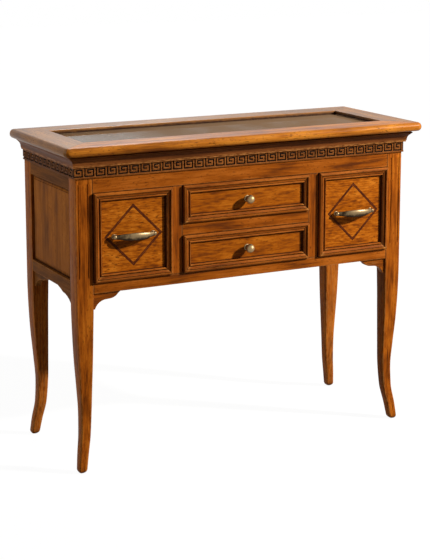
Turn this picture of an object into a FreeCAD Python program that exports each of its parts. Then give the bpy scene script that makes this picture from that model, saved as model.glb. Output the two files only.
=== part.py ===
import FreeCAD, Part
import os
import re

import Sketcher

# Display console table: a glazed lift-up top over a shallow display case, with two deep drawers
# at the sides and two shallow drawers in the middle, on four curved legs.
# Millimetres. +Z is up, the front faces -Y, and the origin is on the ground under the middle.

# Driving sizes: name, value, what it is
SIZES = (
    ("total_height", 850, "ground to the top of the lid"),
    ("case_width", 966, "over the outer faces of the posts, left to right"),
    ("case_depth", 358, "over the outer faces of the posts, front to back"),
    ("top_overhang", 42, "lid beyond the posts at the front and the sides"),
    ("back_overhang", 6, "lid beyond the posts at the back"),
    ("lid_thick", 24, "thickness of the lid frame"),
    ("lid_rail_width", 84, "width of a lid rail, seen from above"),
    ("lid_corner_round", 14, "plan radius of the lid's outer corners"),
    ("bullnose_radius", 11.6, "rounding of the lid's outer edge, above and below"),
    ("lid_seam", 0.3, "gap between the closed lid and the case"),
    ("glass_drop", 10, "height of the lip above the pane"),
    ("glass_thick", 4, "thickness of the pane"),
    ("glass_lap", 8, "how far the lip reaches over the pane"),
    ("glass_play", 0.3, "gap between the pane and the rebate's side"),
    ("bead_height", 8, "height of the beads under the pane"),
    ("hinge_inset", 140, "case side to the middle of a hinge"),
    ("leaf_length", 60, "length of a hinge leaf along the knuckles"),
    ("leaf_reach", 18, "depth of a hinge leaf on the rail"),
    ("leaf_thick", 1.2, "thickness of a hinge leaf"),
    ("knuckle_radius", 2.6, "outer radius of a hinge knuckle"),
    ("knuckle_gap", 0.3, "gap between two knuckles, and between knuckle and rail"),
    ("pin_radius", 1.2, "radius of a hinge pin"),
    ("pin_play", 0.05, "running clearance of the pin in the lid's knuckles"),
    ("post_width", 45, "width of the square corner posts"),
    ("post_ease", 0.8, "eased edge of the posts"),
    ("groove_width", 2.4, "width of the stopped grooves in the front posts"),
    ("groove_depth", 1.3, "depth of the stopped grooves"),
    ("groove_inner_margin", 12, "post's inner edge to the inner groove"),
    ("groove_outer_margin", 6, "post's outer edge to the outer groove"),
    ("groove_stop", 14, "grooves stop this short of the frieze and of the bottom rail"),
    ("knee_drop", 16, "bottom rails' underside to where the legs begin to curve"),
    ("ankle_inset", 12, "most that a leg draws in from its post's outer face"),
    ("foot_ease", 6, "chamfer under a foot"),
    ("leg_round", 4.5, "rounding of a leg's edges at the foot"),
    ("rail_thick", 22, "thickness of rails and stiles"),
    ("top_rail_show", 38.5, "front top rail's face between the frieze and the drawers"),
    ("bottom_rail_height", 27, "height of the front and back bottom rails"),
    ("drawer_zone_height", 231, "height of the deep drawers' openings"),
    ("shallow_opening_height", 100, "height of the middle drawers' openings"),
    ("deep_opening_width", 221, "width of the deep drawers' openings"),
    ("stile_width", 28, "width of the stiles beside the middle drawers"),
    ("side_bottom_rail_height", 30, "height of the side bottom rails"),
    ("side_top_rail_show", 33.5, "side top rail's face between the frieze and the panel"),
    ("side_panel_thick", 8, "thickness of a side panel's border"),
    ("side_panel_recess", 8, "side panel's border behind the post's face"),
    ("field_rise", 3.5, "raised field above the panel's border"),
    ("field_border", 12, "width of the slope round the raised field"),
    ("back_panel_thick", 6, "thickness of the back panel"),
    ("back_panel_recess", 8, "back panel behind the back rails' faces"),
    ("cornice_height", 30.7, "height of the cornice"),
    ("cornice_reach", 21, "most that the cornice stands out from the posts"),
    ("frieze_height", 28.5, "height of the key frieze"),
    ("frieze_proud", 4, "frieze's face beyond the posts"),
    ("key_relief", 1.8, "depth of the carved key"),
    ("key_pitch", 30, "aimed length of one key"),
    ("bracket_length", 78, "corner bracket along the front rail"),
    ("side_bracket_length", 130, "corner bracket along a side rail"),
    ("bracket_drop", 42, "corner bracket below its rail"),
    ("bracket_thick", 16, "thickness of a corner bracket"),
    ("bracket_setback", 5, "corner bracket behind its rail's face"),
    ("case_floor_thick", 8, "thickness of the display case's floor"),
    ("case_floor_lift", 8, "case floor above the drawer openings"),
    ("lining_thick", 1.5, "thickness of the felt lining"),
    ("lining_gap", 0.3, "felt lining's gap to the case walls"),
    ("partition_thick", 18, "thickness of the partitions between the bays"),
    ("runner_width", 20, "width of a drawer runner"),
    ("runner_height", 20, "height of a drawer runner"),
    ("stop_height", 10, "height of a stop block on its runner"),
    ("stop_length", 23, "depth of a stop block, from the back rail forwards"),
    ("stop_play", 0.3, "gap between a shut drawer and its stop block"),
    ("drawer_gap", 1, "gap round a drawer front in its opening"),
    ("front_thick", 20, "thickness of a drawer front"),
    ("front_proud", 1, "drawer front's face beyond the rails"),
    ("moulding_width", 22, "width of the frame moulding on a drawer front"),
    ("moulding_rise", 8, "height of the frame moulding"),
    ("box_thick", 12, "thickness of a drawer box's sides and back"),
    ("box_side_gap", 2, "gap between a drawer box and its opening, each side"),
    ("box_top_gap", 20, "drawer box's sides below the opening's top"),
    ("running_gap", 0.3, "gap between a drawer side and its runner"),
    ("bottom_thick", 6, "thickness of a drawer bottom"),
    ("bottom_lift", 6, "drawer bottom above the sides' lower edges"),
    ("inlay_span", 161, "inlay diamond, corner to corner"),
    ("inlay_width", 6, "width of the inlay line"),
    ("inlay_thick", 1.2, "thickness of the inlay line"),
    ("handle_half_span", 55, "handle's middle to the middle of an end bead"),
    ("handle_reach", 30, "drawer front to the outside of the handle"),
    ("handle_belly_radius", 9.5, "half height of the handle's bow at its middle"),
    ("handle_bow_depth", 8, "front-to-back thickness of the bow at its middle"),
    ("handle_bead_radius", 5.2, "radius of an end bead"),
    ("handle_post_radius", 3.5, "radius of a handle post"),
    ("handle_post_inset", 1, "post's axis inside the end bead's middle"),
    ("handle_plate_radius", 7.5, "radius of the plate round a handle post"),
    ("handle_plate_thick", 2.5, "thickness of the plate round a handle post"),
    ("knob_radius", 11.5, "radius of a knob's ball"),
    ("knob_reach", 28.5, "drawer front to the outside of a knob"),
    ("knob_neck_radius", 4.5, "radius of a knob's neck"),
    ("knob_plate_radius", 8.5, "radius of the plate under a knob"),
    ("knob_plate_thick", 2.5, "thickness of the plate under a knob"),
    ("overrun", 5, "how far a cutting shape passes what it cuts"),
)
SIZE_NAMES = {name for name, _, _ in SIZES}

# Leg sections from knee to foot: share of the knee's height, of the ankle's inset, of the post's width
LEG_SECTION_SHARES = (
    (1.00, 0.00, 1.00),
    (0.96, 0.00, 0.995),
    (0.84, 0.06, 0.955),
    (0.67, 0.28, 0.875),
    (0.49, 0.72, 0.735),
    (0.35, 1.00, 0.635),
    (0.22, 0.84, 0.59),
    (0.10, 0.17, 0.55),
)
FOOT_INSET_SHARE = -0.25
FOOT_WIDTH_SHARE = 0.50

# Bracket outlines from the post outwards and from the rail down: shares of their length and drop.
# Four numbers are an arc's end and a point halfway along it.
BRACKET_SHARES = (
    (0.00, 0.00),
    (0.00, 1.00),
    (0.07, 1.00),
    (0.40, 0.46, 0.19, 0.65),
    (0.65, 0.42),
    (0.84, 0.25, 0.76, 0.35),
    (1.00, 0.00, 0.92, 0.10),
)
SIDE_BRACKET_SHARES = (
    (0.00, 0.00),
    (0.00, 1.00),
    (0.05, 1.00),
    (0.36, 0.38, 0.15, 0.64),
    (0.50, 0.345),
    (1.00, 0.00, 0.73, 0.12),
)

# Frame moulding's section: shares of its width, from the outer edge in, and of its rise
MOULDING_SHARES = (
    (0.00, 0.00),
    (0.00, 0.40),
    (0.24, 1.00, 0.07, 0.82),
    (0.30, 1.00),
    (0.66, 0.50, 0.46, 0.65),
    (0.70, 0.50),
    (0.94, 0.50, 0.82, 0.80),
    (1.00, 0.25),
    (1.00, 0.00),
)

# Cornice's section from below up: shares of its reach and of its height
CORNICE_SHARES = (
    (0.00, 0.00),
    (0.40, 0.00),
    (0.40, 0.13),
    (0.46, 0.13),
    (0.83, 0.70, 0.55, 0.47),
    (0.83, 0.76),
    (0.90, 0.76),
    (0.90, 0.92, 1.00, 0.84),
    (0.84, 0.92),
    (0.84, 1.00),
    (0.00, 1.00),
)

# One key: corners of its raised outline, in columns and rows of its own grid
KEY_COLUMNS = 8
KEY_ROWS = 7
KEY_OUTLINE_SHARES = (
    (7, 1), (7, 7), (0, 7), (0, 2), (5, 2), (5, 5), (2, 5), (2, 4),
    (4, 4), (4, 3), (1, 3), (1, 6), (6, 6), (6, 1),
)

# Handle's bow, from its middle to an end bead: share of the half span, of the belly's half height,
# of the bow's thickness and of the reach to the bow's outside
HANDLE_SECTION_SHARES = (
    (0.00, 1.00, 1.00, 1.00),
    (0.30, 0.94, 0.98, 0.95),
    (0.62, 0.68, 0.92, 0.79),
    (0.85, 0.47, 0.86, 0.58),
    (1.00, 0.43, 0.82, 0.43),
)

# The middle of a quarter round lies this share of its radius in from the sharp corner
ROUND_MIDDLE_SHARE = 0.2929

# Places worked out from the sizes
FRONT = "(-(top_overhang + case_depth + back_overhang) / 2 + top_overhang)"
BACK = f"({FRONT} + case_depth)"
HALF = "(case_width / 2)"
CASE_TOP = "(total_height - lid_thick - lid_seam)"
LID_LOW = "(total_height - lid_thick)"
CORNICE_LOW = f"({CASE_TOP} - cornice_height)"
FRIEZE_LOW = f"({CORNICE_LOW} - frieze_height)"
BAY_HIGH = f"({FRIEZE_LOW} - top_rail_show)"
BAY_LOW = f"({BAY_HIGH} - drawer_zone_height)"
APRON_LOW = f"({BAY_LOW} - bottom_rail_height)"
KNEE = f"({APRON_LOW} - knee_drop)"
LOWER_SHALLOW_HIGH = f"({BAY_LOW} + shallow_opening_height)"
UPPER_SHALLOW_LOW = f"({BAY_HIGH} - shallow_opening_height)"
POST_INNER = f"({HALF} - post_width)"
STILE_OUTER = f"({POST_INNER} - deep_opening_width)"
STILE_INNER = f"({STILE_OUTER} - stile_width)"
STILE_MIDDLE = f"({STILE_OUTER} - stile_width / 2)"
PARTITION_OUTER = f"({STILE_MIDDLE} + partition_thick / 2)"
PARTITION_INNER = f"({STILE_MIDDLE} - partition_thick / 2)"
FRONT_RAIL_BACK = f"({FRONT} + rail_thick)"
BACK_RAIL_FRONT = f"({BACK} - rail_thick)"
SIDE_RAIL_INNER = f"({HALF} - rail_thick)"
CASE_FLOOR_LOW = f"({BAY_HIGH} + case_floor_lift)"
CASE_FLOOR_HIGH = f"({CASE_FLOOR_LOW} + case_floor_thick)"
SIDE_PANEL_LOW = f"({APRON_LOW} + side_bottom_rail_height)"
SIDE_PANEL_HIGH = f"({FRIEZE_LOW} - side_top_rail_show)"
DRAWER_FACE = f"({FRONT} - front_proud)"
DRAWER_BACK = f"({DRAWER_FACE} + front_thick)"
STOP_FACE = f"({BACK_RAIL_FRONT} - stop_length)"
BOX_END = f"({STOP_FACE} - stop_play)"
HINGE_AXIS = f"({BACK} + knuckle_radius + knuckle_gap)"
HINGE_LEVEL = f"({CASE_TOP} + lid_seam / 2)"

DOC = FreeCAD.newDocument("DisplayConsoleTable")
SHEET = DOC.addObject("Spreadsheet::Sheet", "Sizes")


def fill_sheet():
    """Write every driving size into the sheet, with its name as the cell's alias."""
    for row, (name, value, meaning) in enumerate(SIZES, start=1):
        SHEET.set(f"A{row}", meaning)
        SHEET.set(f"B{row}", str(value))
        SHEET.setAlias(f"B{row}", name)
    DOC.recompute()


def linked(expression):
    """The expression with each size's name pointing at its cell."""
    def point(match):
        word = match.group()
        return f"Sizes.{word}" if word in SIZE_NAMES else word
    return re.sub(r"[a-z][a-z_]*", point, str(expression))


def value(expression):
    """The expression's present value."""
    return float(SHEET.evalExpression(linked(expression)))


def bind(thing, **properties):
    """Tie properties to expressions. A double underscore in a name stands for a dot."""
    for name, expression in properties.items():
        thing.setExpression(name.replace("__", "."), linked(expression))


def place(thing, x="0", y="0", z="0", turn=0):
    """Tie an object's place to expressions, turned about the upright axis."""
    thing.Placement.Rotation = FreeCAD.Rotation(FreeCAD.Vector(0, 0, 1), turn)
    bind(thing, Placement__Base__x=x, Placement__Base__y=y, Placement__Base__z=z)


def labelled(kind, label):
    """A new object of the document with its own label."""
    thing = DOC.addObject(kind, label)
    thing.Label = label
    return thing


def distance(low, high):
    """The length between two places."""
    return f"(({high}) - ({low}))"


def board(label, x, y, z):
    """A square-edged board between two places along each axis."""
    box = labelled("Part::Box", label)
    bind(box, Length=distance(*x), Width=distance(*y), Height=distance(*z))
    place(box, x[0], y[0], z[0])
    return box


def group(label, pieces):
    """Separate solids that share one node."""
    compound = labelled("Part::Compound", label)
    compound.Links = pieces
    return compound


def fused(label, pieces):
    """Pieces joined into one solid."""
    fusion = labelled("Part::MultiFuse", label)
    fusion.Shapes = pieces
    fusion.Refine = True
    return fusion


def mirrored(expression, side):
    """A place on the right (side 1) or its mirror image on the left (side -1)."""
    return expression if side > 0 else f"(-({expression}))"


def span(low, high, side):
    """Two places on the right in rising order, mirrored to the left where side is -1."""
    return (low, high) if side > 0 else (mirrored(high, side), mirrored(low, side))


def outline(sketch, corners):
    """Close an outline in the sketch. A corner is x and y, or x, y and a point halfway along its arc."""
    numbers = [[value(part) for part in corner] for corner in corners]
    arcs = []
    first = sketch.GeometryCount
    for index, corner in enumerate(numbers):
        start = FreeCAD.Vector(*numbers[index - 1][:2], 0)
        end = FreeCAD.Vector(*corner[:2], 0)
        if len(corner) == 2:
            sketch.addGeometry(Part.LineSegment(start, end))
            arcs.append(None)
            continue
        middle = FreeCAD.Vector(*corner[2:], 0)
        arc = Part.Arc(start, middle, end)
        turns_left = (middle - start).cross(end - middle).z > 0
        sketch.addGeometry(arc)
        arcs.append(turns_left)
    count = len(corners)
    for index, corner in enumerate(corners):
        edge = first + index
        after = first + (index + 1) % count
        end_point = 1 if arcs[index] is False else 2
        start_point = 2 if arcs[(index + 1) % count] is False else 1
        sketch.addConstraint(Sketcher.Constraint("Coincident", edge, end_point, after, start_point))
        fix_point(sketch, edge, end_point, corner[0], corner[1])
    for index, corner in enumerate(corners):
        if arcs[index] is None:
            continue
        middle = sketch.addGeometry(Part.Point(FreeCAD.Vector(*numbers[index][2:], 0)), True)
        fix_point(sketch, middle, 1, corner[2], corner[3])
        sketch.addConstraint(Sketcher.Constraint("PointOnObject", middle, 1, first + index))


def fix_point(sketch, edge, point, x, y):
    """Tie a point of the sketch to two expressions."""
    for direction, expression in (("DistanceX", x), ("DistanceY", y)):
        number = sketch.addConstraint(
            Sketcher.Constraint(direction, -1, 1, edge, point, value(expression)))
        sketch.setExpression(f"Constraints[{number}]", linked(expression))


def origin_part(body, role):
    """One of the body's own origin planes or axes."""
    return next(part for part in body.Origin.OriginFeatures if part.Role == role)


def sketch_on(body, plane, level, outlines):
    """A sketch on one of the body's planes, moved along the plane's normal."""
    sketch = body.newObject("Sketcher::SketchObject", "Outline")
    sketch.AttachmentSupport = [(origin_part(body, plane), "")]
    sketch.MapMode = "FlatFace"
    bind(sketch, AttachmentOffset__Base__z=level)
    for corners in outlines:
        outline(sketch, corners)
    return sketch


def pad(body, plane, low, high, outlines):
    """Add the outlines to the body as a prism between two places across the plane."""
    start = f"-({high})" if plane == "XZ_Plane" else low
    feature = body.newObject("PartDesign::Pad", "Pad")
    feature.Profile = sketch_on(body, plane, start, outlines)
    bind(feature, Length=distance(low, high))
    return feature


def pocket(body, plane, low, high, outlines):
    """Cut the outlines from the body between two places across the plane."""
    DOC.recompute()
    before = body.Shape.Volume
    start = f"-({low})" if plane == "XZ_Plane" else high
    feature = body.newObject("PartDesign::Pocket", "Pocket")
    feature.Profile = sketch_on(body, plane, start, outlines)
    bind(feature, Length=distance(low, high))
    DOC.recompute()
    if body.Shape.Volume >= before:
        raise ValueError(f"a pocket of {body.Label} cuts nothing")
    return feature


def rectangle(x, y):
    """Outline of a rectangle between two places each way."""
    return [(x[0], y[0]), (x[1], y[0]), (x[1], y[1]), (x[0], y[1])]


def rounded_rectangle(x, y, radius):
    """Outline of a rectangle with rounded corners."""
    near = f"{radius} * {ROUND_MIDDLE_SHARE}"
    return [
        (f"{x[1]} - {radius}", y[0]),
        (x[1], f"{y[0]} + {radius}", f"{x[1]} - {near}", f"{y[0]} + {near}"),
        (x[1], f"{y[1]} - {radius}"),
        (f"{x[1]} - {radius}", y[1], f"{x[1]} - {near}", f"{y[1]} - {near}"),
        (f"{x[0]} + {radius}", y[1]),
        (x[0], f"{y[1]} - {radius}", f"{x[0]} + {near}", f"{y[1]} - {near}"),
        (x[0], f"{y[0]} + {radius}"),
        (f"{x[0]} + {radius}", y[0], f"{x[0]} + {near}", f"{y[0]} + {near}"),
    ]


def scaled(shares, across, along, x0="0", y0="0"):
    """Outline from shares: the even numbers times one size and the odd ones times another."""
    scales = ((x0, across), (y0, along))
    return [
        tuple(f"{scales[i % 2][0]} + {share} * {scales[i % 2][1]}" for i, share in enumerate(corner))
        for corner in shares
    ]


def plain_body(label, plane, low, high, *outlines):
    """A body made of one prism."""
    body = labelled("PartDesign::Body", label)
    pad(body, plane, low, high, outlines)
    return body


# Legs and posts


def leg(label, turn, corner_x, corner_y, groove_plane=None):
    """A corner post and its leg. The post's outer corner is the body's own origin."""
    body = labelled("PartDesign::Body", label)
    post = ("0", "post_width")
    pad(body, "XY_Plane", KNEE, CASE_TOP, [rounded_rectangle(post, post, "post_ease")])
    sections = []
    for height_share, inset_share, width_share in LEG_SECTION_SHARES:
        sections.append(leg_section(body, f"{height_share} * {KNEE}", height_share,
                                    f"{inset_share} * ankle_inset", width_share))
    sole = leg_section(body, "foot_ease", 0, f"{FOOT_INSET_SHARE} * ankle_inset", FOOT_WIDTH_SHARE)
    loft_down(body, sections + [sole], False)
    ground = leg_section(body, "0", 0, f"{FOOT_INSET_SHARE} * ankle_inset + foot_ease",
                         FOOT_WIDTH_SHARE, "2 * foot_ease")
    loft_down(body, [sole, ground], True)
    if groove_plane:
        low = f"{BAY_LOW} + groove_stop"
        high = f"{FRIEZE_LOW} - groove_stop"
        outer = ("groove_outer_margin", "groove_outer_margin + groove_width")
        inner = ("post_width - groove_inner_margin - groove_width", "post_width - groove_inner_margin")
        grooves = [rectangle(outer, (low, high)), rectangle(inner, (low, high))]
        pocket(body, groove_plane, "0", "groove_depth", grooves)
    place(body, corner_x, corner_y, turn=turn)
    return body


def leg_section(body, height, height_share, inset, width_share, less="0"):
    """One level section of a leg, with its edges rounder towards the foot."""
    radius = f"(post_ease + (leg_round - post_ease) * {1 - height_share})"
    ends = (inset, f"{inset} + {width_share} * post_width - ({less})")
    return sketch_on(body, "XY_Plane", height, [rounded_rectangle(ends, ends, radius)])


def loft_down(body, sections, ruled):
    """Join level sections of a leg."""
    loft = body.newObject("PartDesign::AdditiveLoft", "Loft")
    loft.Profile = sections[0]
    loft.Sections = sections[1:]
    loft.Ruled = ruled
    return loft


def legs():
    """The four legs. Each is the same form turned about its own corner."""
    return [
        leg("leg_front_left", 0, f"-{HALF}", FRONT, "XZ_Plane"),
        leg("leg_front_right", 90, HALF, FRONT, "YZ_Plane"),
        leg("leg_back_right", 180, HALF, BACK),
        leg("leg_back_left", 270, f"-{HALF}", BACK),
    ]


# Carcass frame


def front_frame():
    """Rails and stiles between the front posts."""
    depth = (FRONT, FRONT_RAIL_BACK)
    between_posts = (f"-{POST_INNER}", POST_INNER)
    stiles = [
        board(f"stile_{name}", span(STILE_INNER, STILE_OUTER, side), depth, (BAY_LOW, BAY_HIGH))
        for name, side in (("left", -1), ("right", 1))
    ]
    return [
        board("front_top_rail", between_posts, depth, (BAY_HIGH, CASE_TOP)),
        board("front_bottom_rail", between_posts, depth, (APRON_LOW, BAY_LOW)),
        group("front_stiles", stiles),
        board("drawer_divider_rail", (f"-{STILE_INNER}", STILE_INNER), depth,
              (LOWER_SHALLOW_HIGH, UPPER_SHALLOW_LOW)),
    ]


def side_frame(name, side):
    """Top rail, bottom rail and fielded panel of one side."""
    length = (f"({FRONT} + post_width)", f"({BACK} - post_width)")
    thick = span(SIDE_RAIL_INNER, HALF, side)
    face = f"({HALF} - side_panel_recess)"
    panel = board(f"side_panel_board_{name}", span(f"({face} - side_panel_thick)", face, side),
                  length, (SIDE_PANEL_LOW, SIDE_PANEL_HIGH))
    field = labelled("Part::Wedge", f"side_panel_field_{name}")
    along = distance(*length)
    upwards = distance(SIDE_PANEL_LOW, SIDE_PANEL_HIGH)
    bind(field, Xmin="0", Ymin="0", Zmin="0", X2min="field_border", Z2min="field_border",
         Xmax=upwards, Ymax="field_rise", Zmax=along,
         X2max=f"{upwards} - field_border", Z2max=f"{along} - field_border")
    # the wedge's own axes lie up, outwards and along the side
    upright = FreeCAD.Vector(0, 0, 1)
    outwards = FreeCAD.Vector(side, 0, 0)
    field.Placement.Rotation = FreeCAD.Rotation(upright, outwards, upright.cross(outwards), "XYZ")
    start = length[0] if side > 0 else length[1]
    bind(field, Placement__Base__x=mirrored(face, side), Placement__Base__y=start,
         Placement__Base__z=SIDE_PANEL_LOW)
    return [
        board(f"side_top_rail_{name}", thick, length, (SIDE_PANEL_HIGH, CASE_TOP)),
        board(f"side_bottom_rail_{name}", thick, length, (APRON_LOW, SIDE_PANEL_LOW)),
        fused(f"side_panel_{name}", [panel, field]),
    ]


def hinge_places():
    """The two hinges' middles along the back."""
    return (f"(-({HALF} - hinge_inset))", f"({HALF} - hinge_inset)")


def leaf_span(middle):
    """The two ends of a hinge leaf along the back."""
    return (f"{middle} - leaf_length / 2", f"{middle} + leaf_length / 2")


def back_frame():
    """Rails and panel between the back posts. The top rail is let in for the hinge leaves."""
    across = (f"-{POST_INNER}", POST_INNER)
    top_rail = plain_body("back_top_rail", "XY_Plane", BAY_HIGH, CASE_TOP,
                          rectangle(across, (BACK_RAIL_FRONT, BACK)))
    seats = [rectangle(leaf_span(middle), (f"{BACK} - leaf_reach", f"{BACK} + overrun"))
             for middle in hinge_places()]
    pocket(top_rail, "XY_Plane", f"({CASE_TOP} - leaf_thick)", f"({CASE_TOP} + overrun)", seats)
    panel_back = f"({BACK} - back_panel_recess)"
    return [
        top_rail,
        board("back_bottom_rail", across, (BACK_RAIL_FRONT, BACK), (APRON_LOW, BAY_LOW)),
        board("back_panel", across, (f"({panel_back} - back_panel_thick)", panel_back),
              (BAY_LOW, BAY_HIGH)),
    ]


def key_frieze(label, plane, face, sign, low, high):
    """A strip with a row of raised Greek keys. It runs from low to high along the plane's first axis."""
    body = labelled("PartDesign::Body", label)
    across = f"({high} - {low})"
    repeats = f"round({across} / key_pitch)"
    column = f"({across} / {repeats} / {KEY_COLUMNS})"
    row = f"(frieze_height / {KEY_ROWS})"
    carved = f"({face} + ({sign}) * (frieze_proud - key_relief))"
    proud = f"({face} + ({sign}) * frieze_proud)"
    back_to_carved = (face, carved) if sign > 0 else (carved, face)
    carved_to_proud = (carved, proud) if sign > 0 else (proud, carved)
    pad(body, plane, *back_to_carved,
        [rectangle((low, high), (FRIEZE_LOW, CORNICE_LOW))])
    pad(body, plane, *carved_to_proud,
        [rectangle((low, high), (FRIEZE_LOW, f"{FRIEZE_LOW} + {row}"))])
    corners = [(f"{low} + {x} * {column}", f"{FRIEZE_LOW} + {y} * {row}")
               for x, y in KEY_OUTLINE_SHARES]
    key = pad(body, plane, *carved_to_proud, [corners])
    DOC.recompute()
    pattern = body.newObject("PartDesign::LinearPattern", "Keys")
    pattern.Originals = [key]
    axis = "X_Axis" if plane == "XZ_Plane" else "Y_Axis"
    pattern.Direction = (origin_part(body, axis), [""])
    bind(pattern, Occurrences=repeats, Length=f"{column} * {KEY_COLUMNS} * ({repeats} - 1)")
    body.Tip = pattern
    return body


def friezes():
    """Key friezes on the front and the sides. The front one covers the ends of the others."""
    wide = f"({HALF} + frieze_proud)"
    return [
        key_frieze("frieze_front", "XZ_Plane", FRONT, -1, f"-{wide}", wide),
        key_frieze("frieze_left", "YZ_Plane", f"(-{HALF})", -1, FRONT, BACK),
        key_frieze("frieze_right", "YZ_Plane", HALF, 1, FRONT, BACK),
    ]


def cornices():
    """Cornice on the front and the sides, mitred at the front corners and square at the back."""
    past = "(cornice_reach + overrun)"
    wide = f"({HALF} + {past})"
    section = scaled(CORNICE_SHARES, "(-cornice_reach)", "cornice_height", FRONT, CORNICE_LOW)
    front = plain_body("cornice_front", "YZ_Plane", f"(-{wide})", wide, section)
    low = f"({CORNICE_LOW} - overrun)"
    high = f"({CASE_TOP} + overrun)"
    ends = [
        [(mirrored(HALF, side), FRONT),
         (mirrored(f"({HALF} + 2 * {past})", side), f"{FRONT} - 2 * {past}"),
         (mirrored(f"({HALF} + 2 * {past})", side), FRONT)]
        for side in (-1, 1)
    ]
    pocket(front, "XY_Plane", low, high, ends)
    pieces = [front]
    for name, side in (("left", -1), ("right", 1)):
        reach = f"({side} * cornice_reach)"
        section = scaled(CORNICE_SHARES, reach, "cornice_height", mirrored(HALF, side), CORNICE_LOW)
        piece = plain_body(f"cornice_{name}", "XZ_Plane", f"({FRONT} - {past})", BACK, section)
        mitre = [(mirrored(HALF, side), FRONT),
                 (mirrored(f"({HALF} + 2 * {past})", side), f"{FRONT} - 2 * {past}"),
                 (mirrored(HALF, side), f"{FRONT} - 2 * {past}")]
        pocket(piece, "XY_Plane", low, high, [mitre])
        pieces.append(piece)
    return pieces


def brackets():
    """Ogee brackets under the bottom rails, beside the posts."""
    front = []
    for name, side in (("left", -1), ("right", 1)):
        corners = scaled(BRACKET_SHARES, f"({-side} * bracket_length)", "(-bracket_drop)",
                         mirrored(POST_INNER, side), APRON_LOW)
        face = f"({FRONT} + bracket_setback)"
        front.append(plain_body(f"front_bracket_{name}", "XZ_Plane", face,
                                f"({face} + bracket_thick)", corners))
    sides = []
    for name, side in (("left", -1), ("right", 1)):
        face = f"({HALF} - bracket_setback)"
        depth = span(f"({face} - bracket_thick)", face, side)
        for end, post, way in (("front", f"({FRONT} + post_width)", 1),
                               ("back", f"({BACK} - post_width)", -1)):
            corners = scaled(SIDE_BRACKET_SHARES, f"({way} * side_bracket_length)",
                             "(-bracket_drop)", post, APRON_LOW)
            sides.append(plain_body(f"side_bracket_{name}_{end}", "YZ_Plane", *depth, corners))
    return [group("front_brackets", front), group("side_brackets", sides)]


# Inside of the carcass


def floor_outline(gap):
    """The case floor's outline between the rails, notched round the four posts."""
    side = f"({SIDE_RAIL_INNER} - {gap})"
    notch = f"({POST_INNER} - {gap})"
    near = f"({FRONT_RAIL_BACK} + {gap})"
    far = f"({BACK_RAIL_FRONT} - {gap})"
    near_notch = f"({FRONT} + post_width + {gap})"
    far_notch = f"({BACK} - post_width - {gap})"
    right = [(notch, near), (notch, near_notch), (side, near_notch),
             (side, far_notch), (notch, far_notch), (notch, far)]
    left = [(f"(-{x})", y) for x, y in reversed(right)]
    return right + left


def case_inside():
    """Display case floor with its felt, and the partitions between the drawer bays."""
    lining_high = f"({CASE_FLOOR_HIGH} + lining_thick)"
    partitions = [
        board(f"partition_{name}", span(PARTITION_INNER, PARTITION_OUTER, side),
              (FRONT_RAIL_BACK, BACK_RAIL_FRONT), (f"({BAY_LOW} - runner_height)", CASE_FLOOR_LOW))
        for name, side in (("left", -1), ("right", 1))
    ]
    return [
        plain_body("case_floor", "XY_Plane", CASE_FLOOR_LOW, CASE_FLOOR_HIGH, floor_outline("0")),
        plain_body("case_lining", "XY_Plane", CASE_FLOOR_HIGH, lining_high, floor_outline("lining_gap")),
        group("partitions", partitions),
    ]


def runners_and_stops():
    """Runners under every drawer side, with a stop block behind each drawer side."""
    outer = (f"({POST_INNER} - runner_width)", POST_INNER)
    inner = (PARTITION_OUTER, f"({PARTITION_OUTER} + runner_width)")
    middle = (f"({PARTITION_INNER} - runner_width)", PARTITION_INNER)
    tiers = (("outer", outer, BAY_LOW), ("inner", inner, BAY_LOW),
             ("middle", middle, BAY_LOW), ("upper", middle, UPPER_SHALLOW_LOW))
    pieces = []
    for name, side in (("left", -1), ("right", 1)):
        for tier, across, level in tiers:
            where = span(*across, side)
            pieces.append(board(f"runner_{tier}_{name}", where, (FRONT_RAIL_BACK, BACK_RAIL_FRONT),
                                (f"({level} - runner_height)", level)))
            pieces.append(board(f"stop_{tier}_{name}", where, (STOP_FACE, BACK_RAIL_FRONT),
                               (level, f"({level} + stop_height)")))
    return [group("drawer_runners", pieces)]


# Drawers


def moulding_strip(length, turn, away):
    """One mitred length of frame moulding, centred, with its outer edge away from the middle."""
    width = value("moulding_width")
    rise = value("moulding_rise")
    edges = []
    points = [(away - width * corner[0], -rise * corner[1]) for corner in MOULDING_SHARES]
    for index, corner in enumerate(MOULDING_SHARES):
        start = FreeCAD.Vector(0, points[index - 1][1], points[index - 1][0])
        end = FreeCAD.Vector(0, points[index][1], points[index][0])
        if len(corner) == 2:
            edges.append(Part.makeLine(start, end))
        else:
            middle = FreeCAD.Vector(0, -rise * corner[3], away - width * corner[2])
            edges.append(Part.Arc(start, middle, end).toShape())
    section = Part.Face(Part.Wire(edges))
    section.translate(FreeCAD.Vector(-length / 2, 0, 0))
    strip = section.extrude(FreeCAD.Vector(length, 0, 0))
    half = length / 2
    mitre = Part.makePolygon([
        FreeCAD.Vector(-half, 0, away), FreeCAD.Vector(half, 0, away),
        FreeCAD.Vector(half - width, 0, away - width), FreeCAD.Vector(width - half, 0, away - width),
        FreeCAD.Vector(-half, 0, away)])
    wedge = Part.Face(mitre).extrude(FreeCAD.Vector(0, -rise, 0))
    piece = strip.common(wedge)
    piece.rotate(FreeCAD.Vector(0, 0, 0), FreeCAD.Vector(0, 1, 0), turn)
    return piece


def frame_moulding(label, width, height, middle_x, middle_z):
    """Four mitred lengths round a drawer front, as separate solids."""
    across = value(width)
    up = value(height)
    strips = []
    for turn in (0, 90, 180, 270):
        level = turn % 180 == 0
        strips.append(moulding_strip(across if level else up, turn, (up if level else across) / 2))
    moulding = labelled("Part::Feature", label)
    moulding.Shape = Part.makeCompound(strips)
    place(moulding, middle_x, DRAWER_FACE, middle_z)
    return moulding


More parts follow.
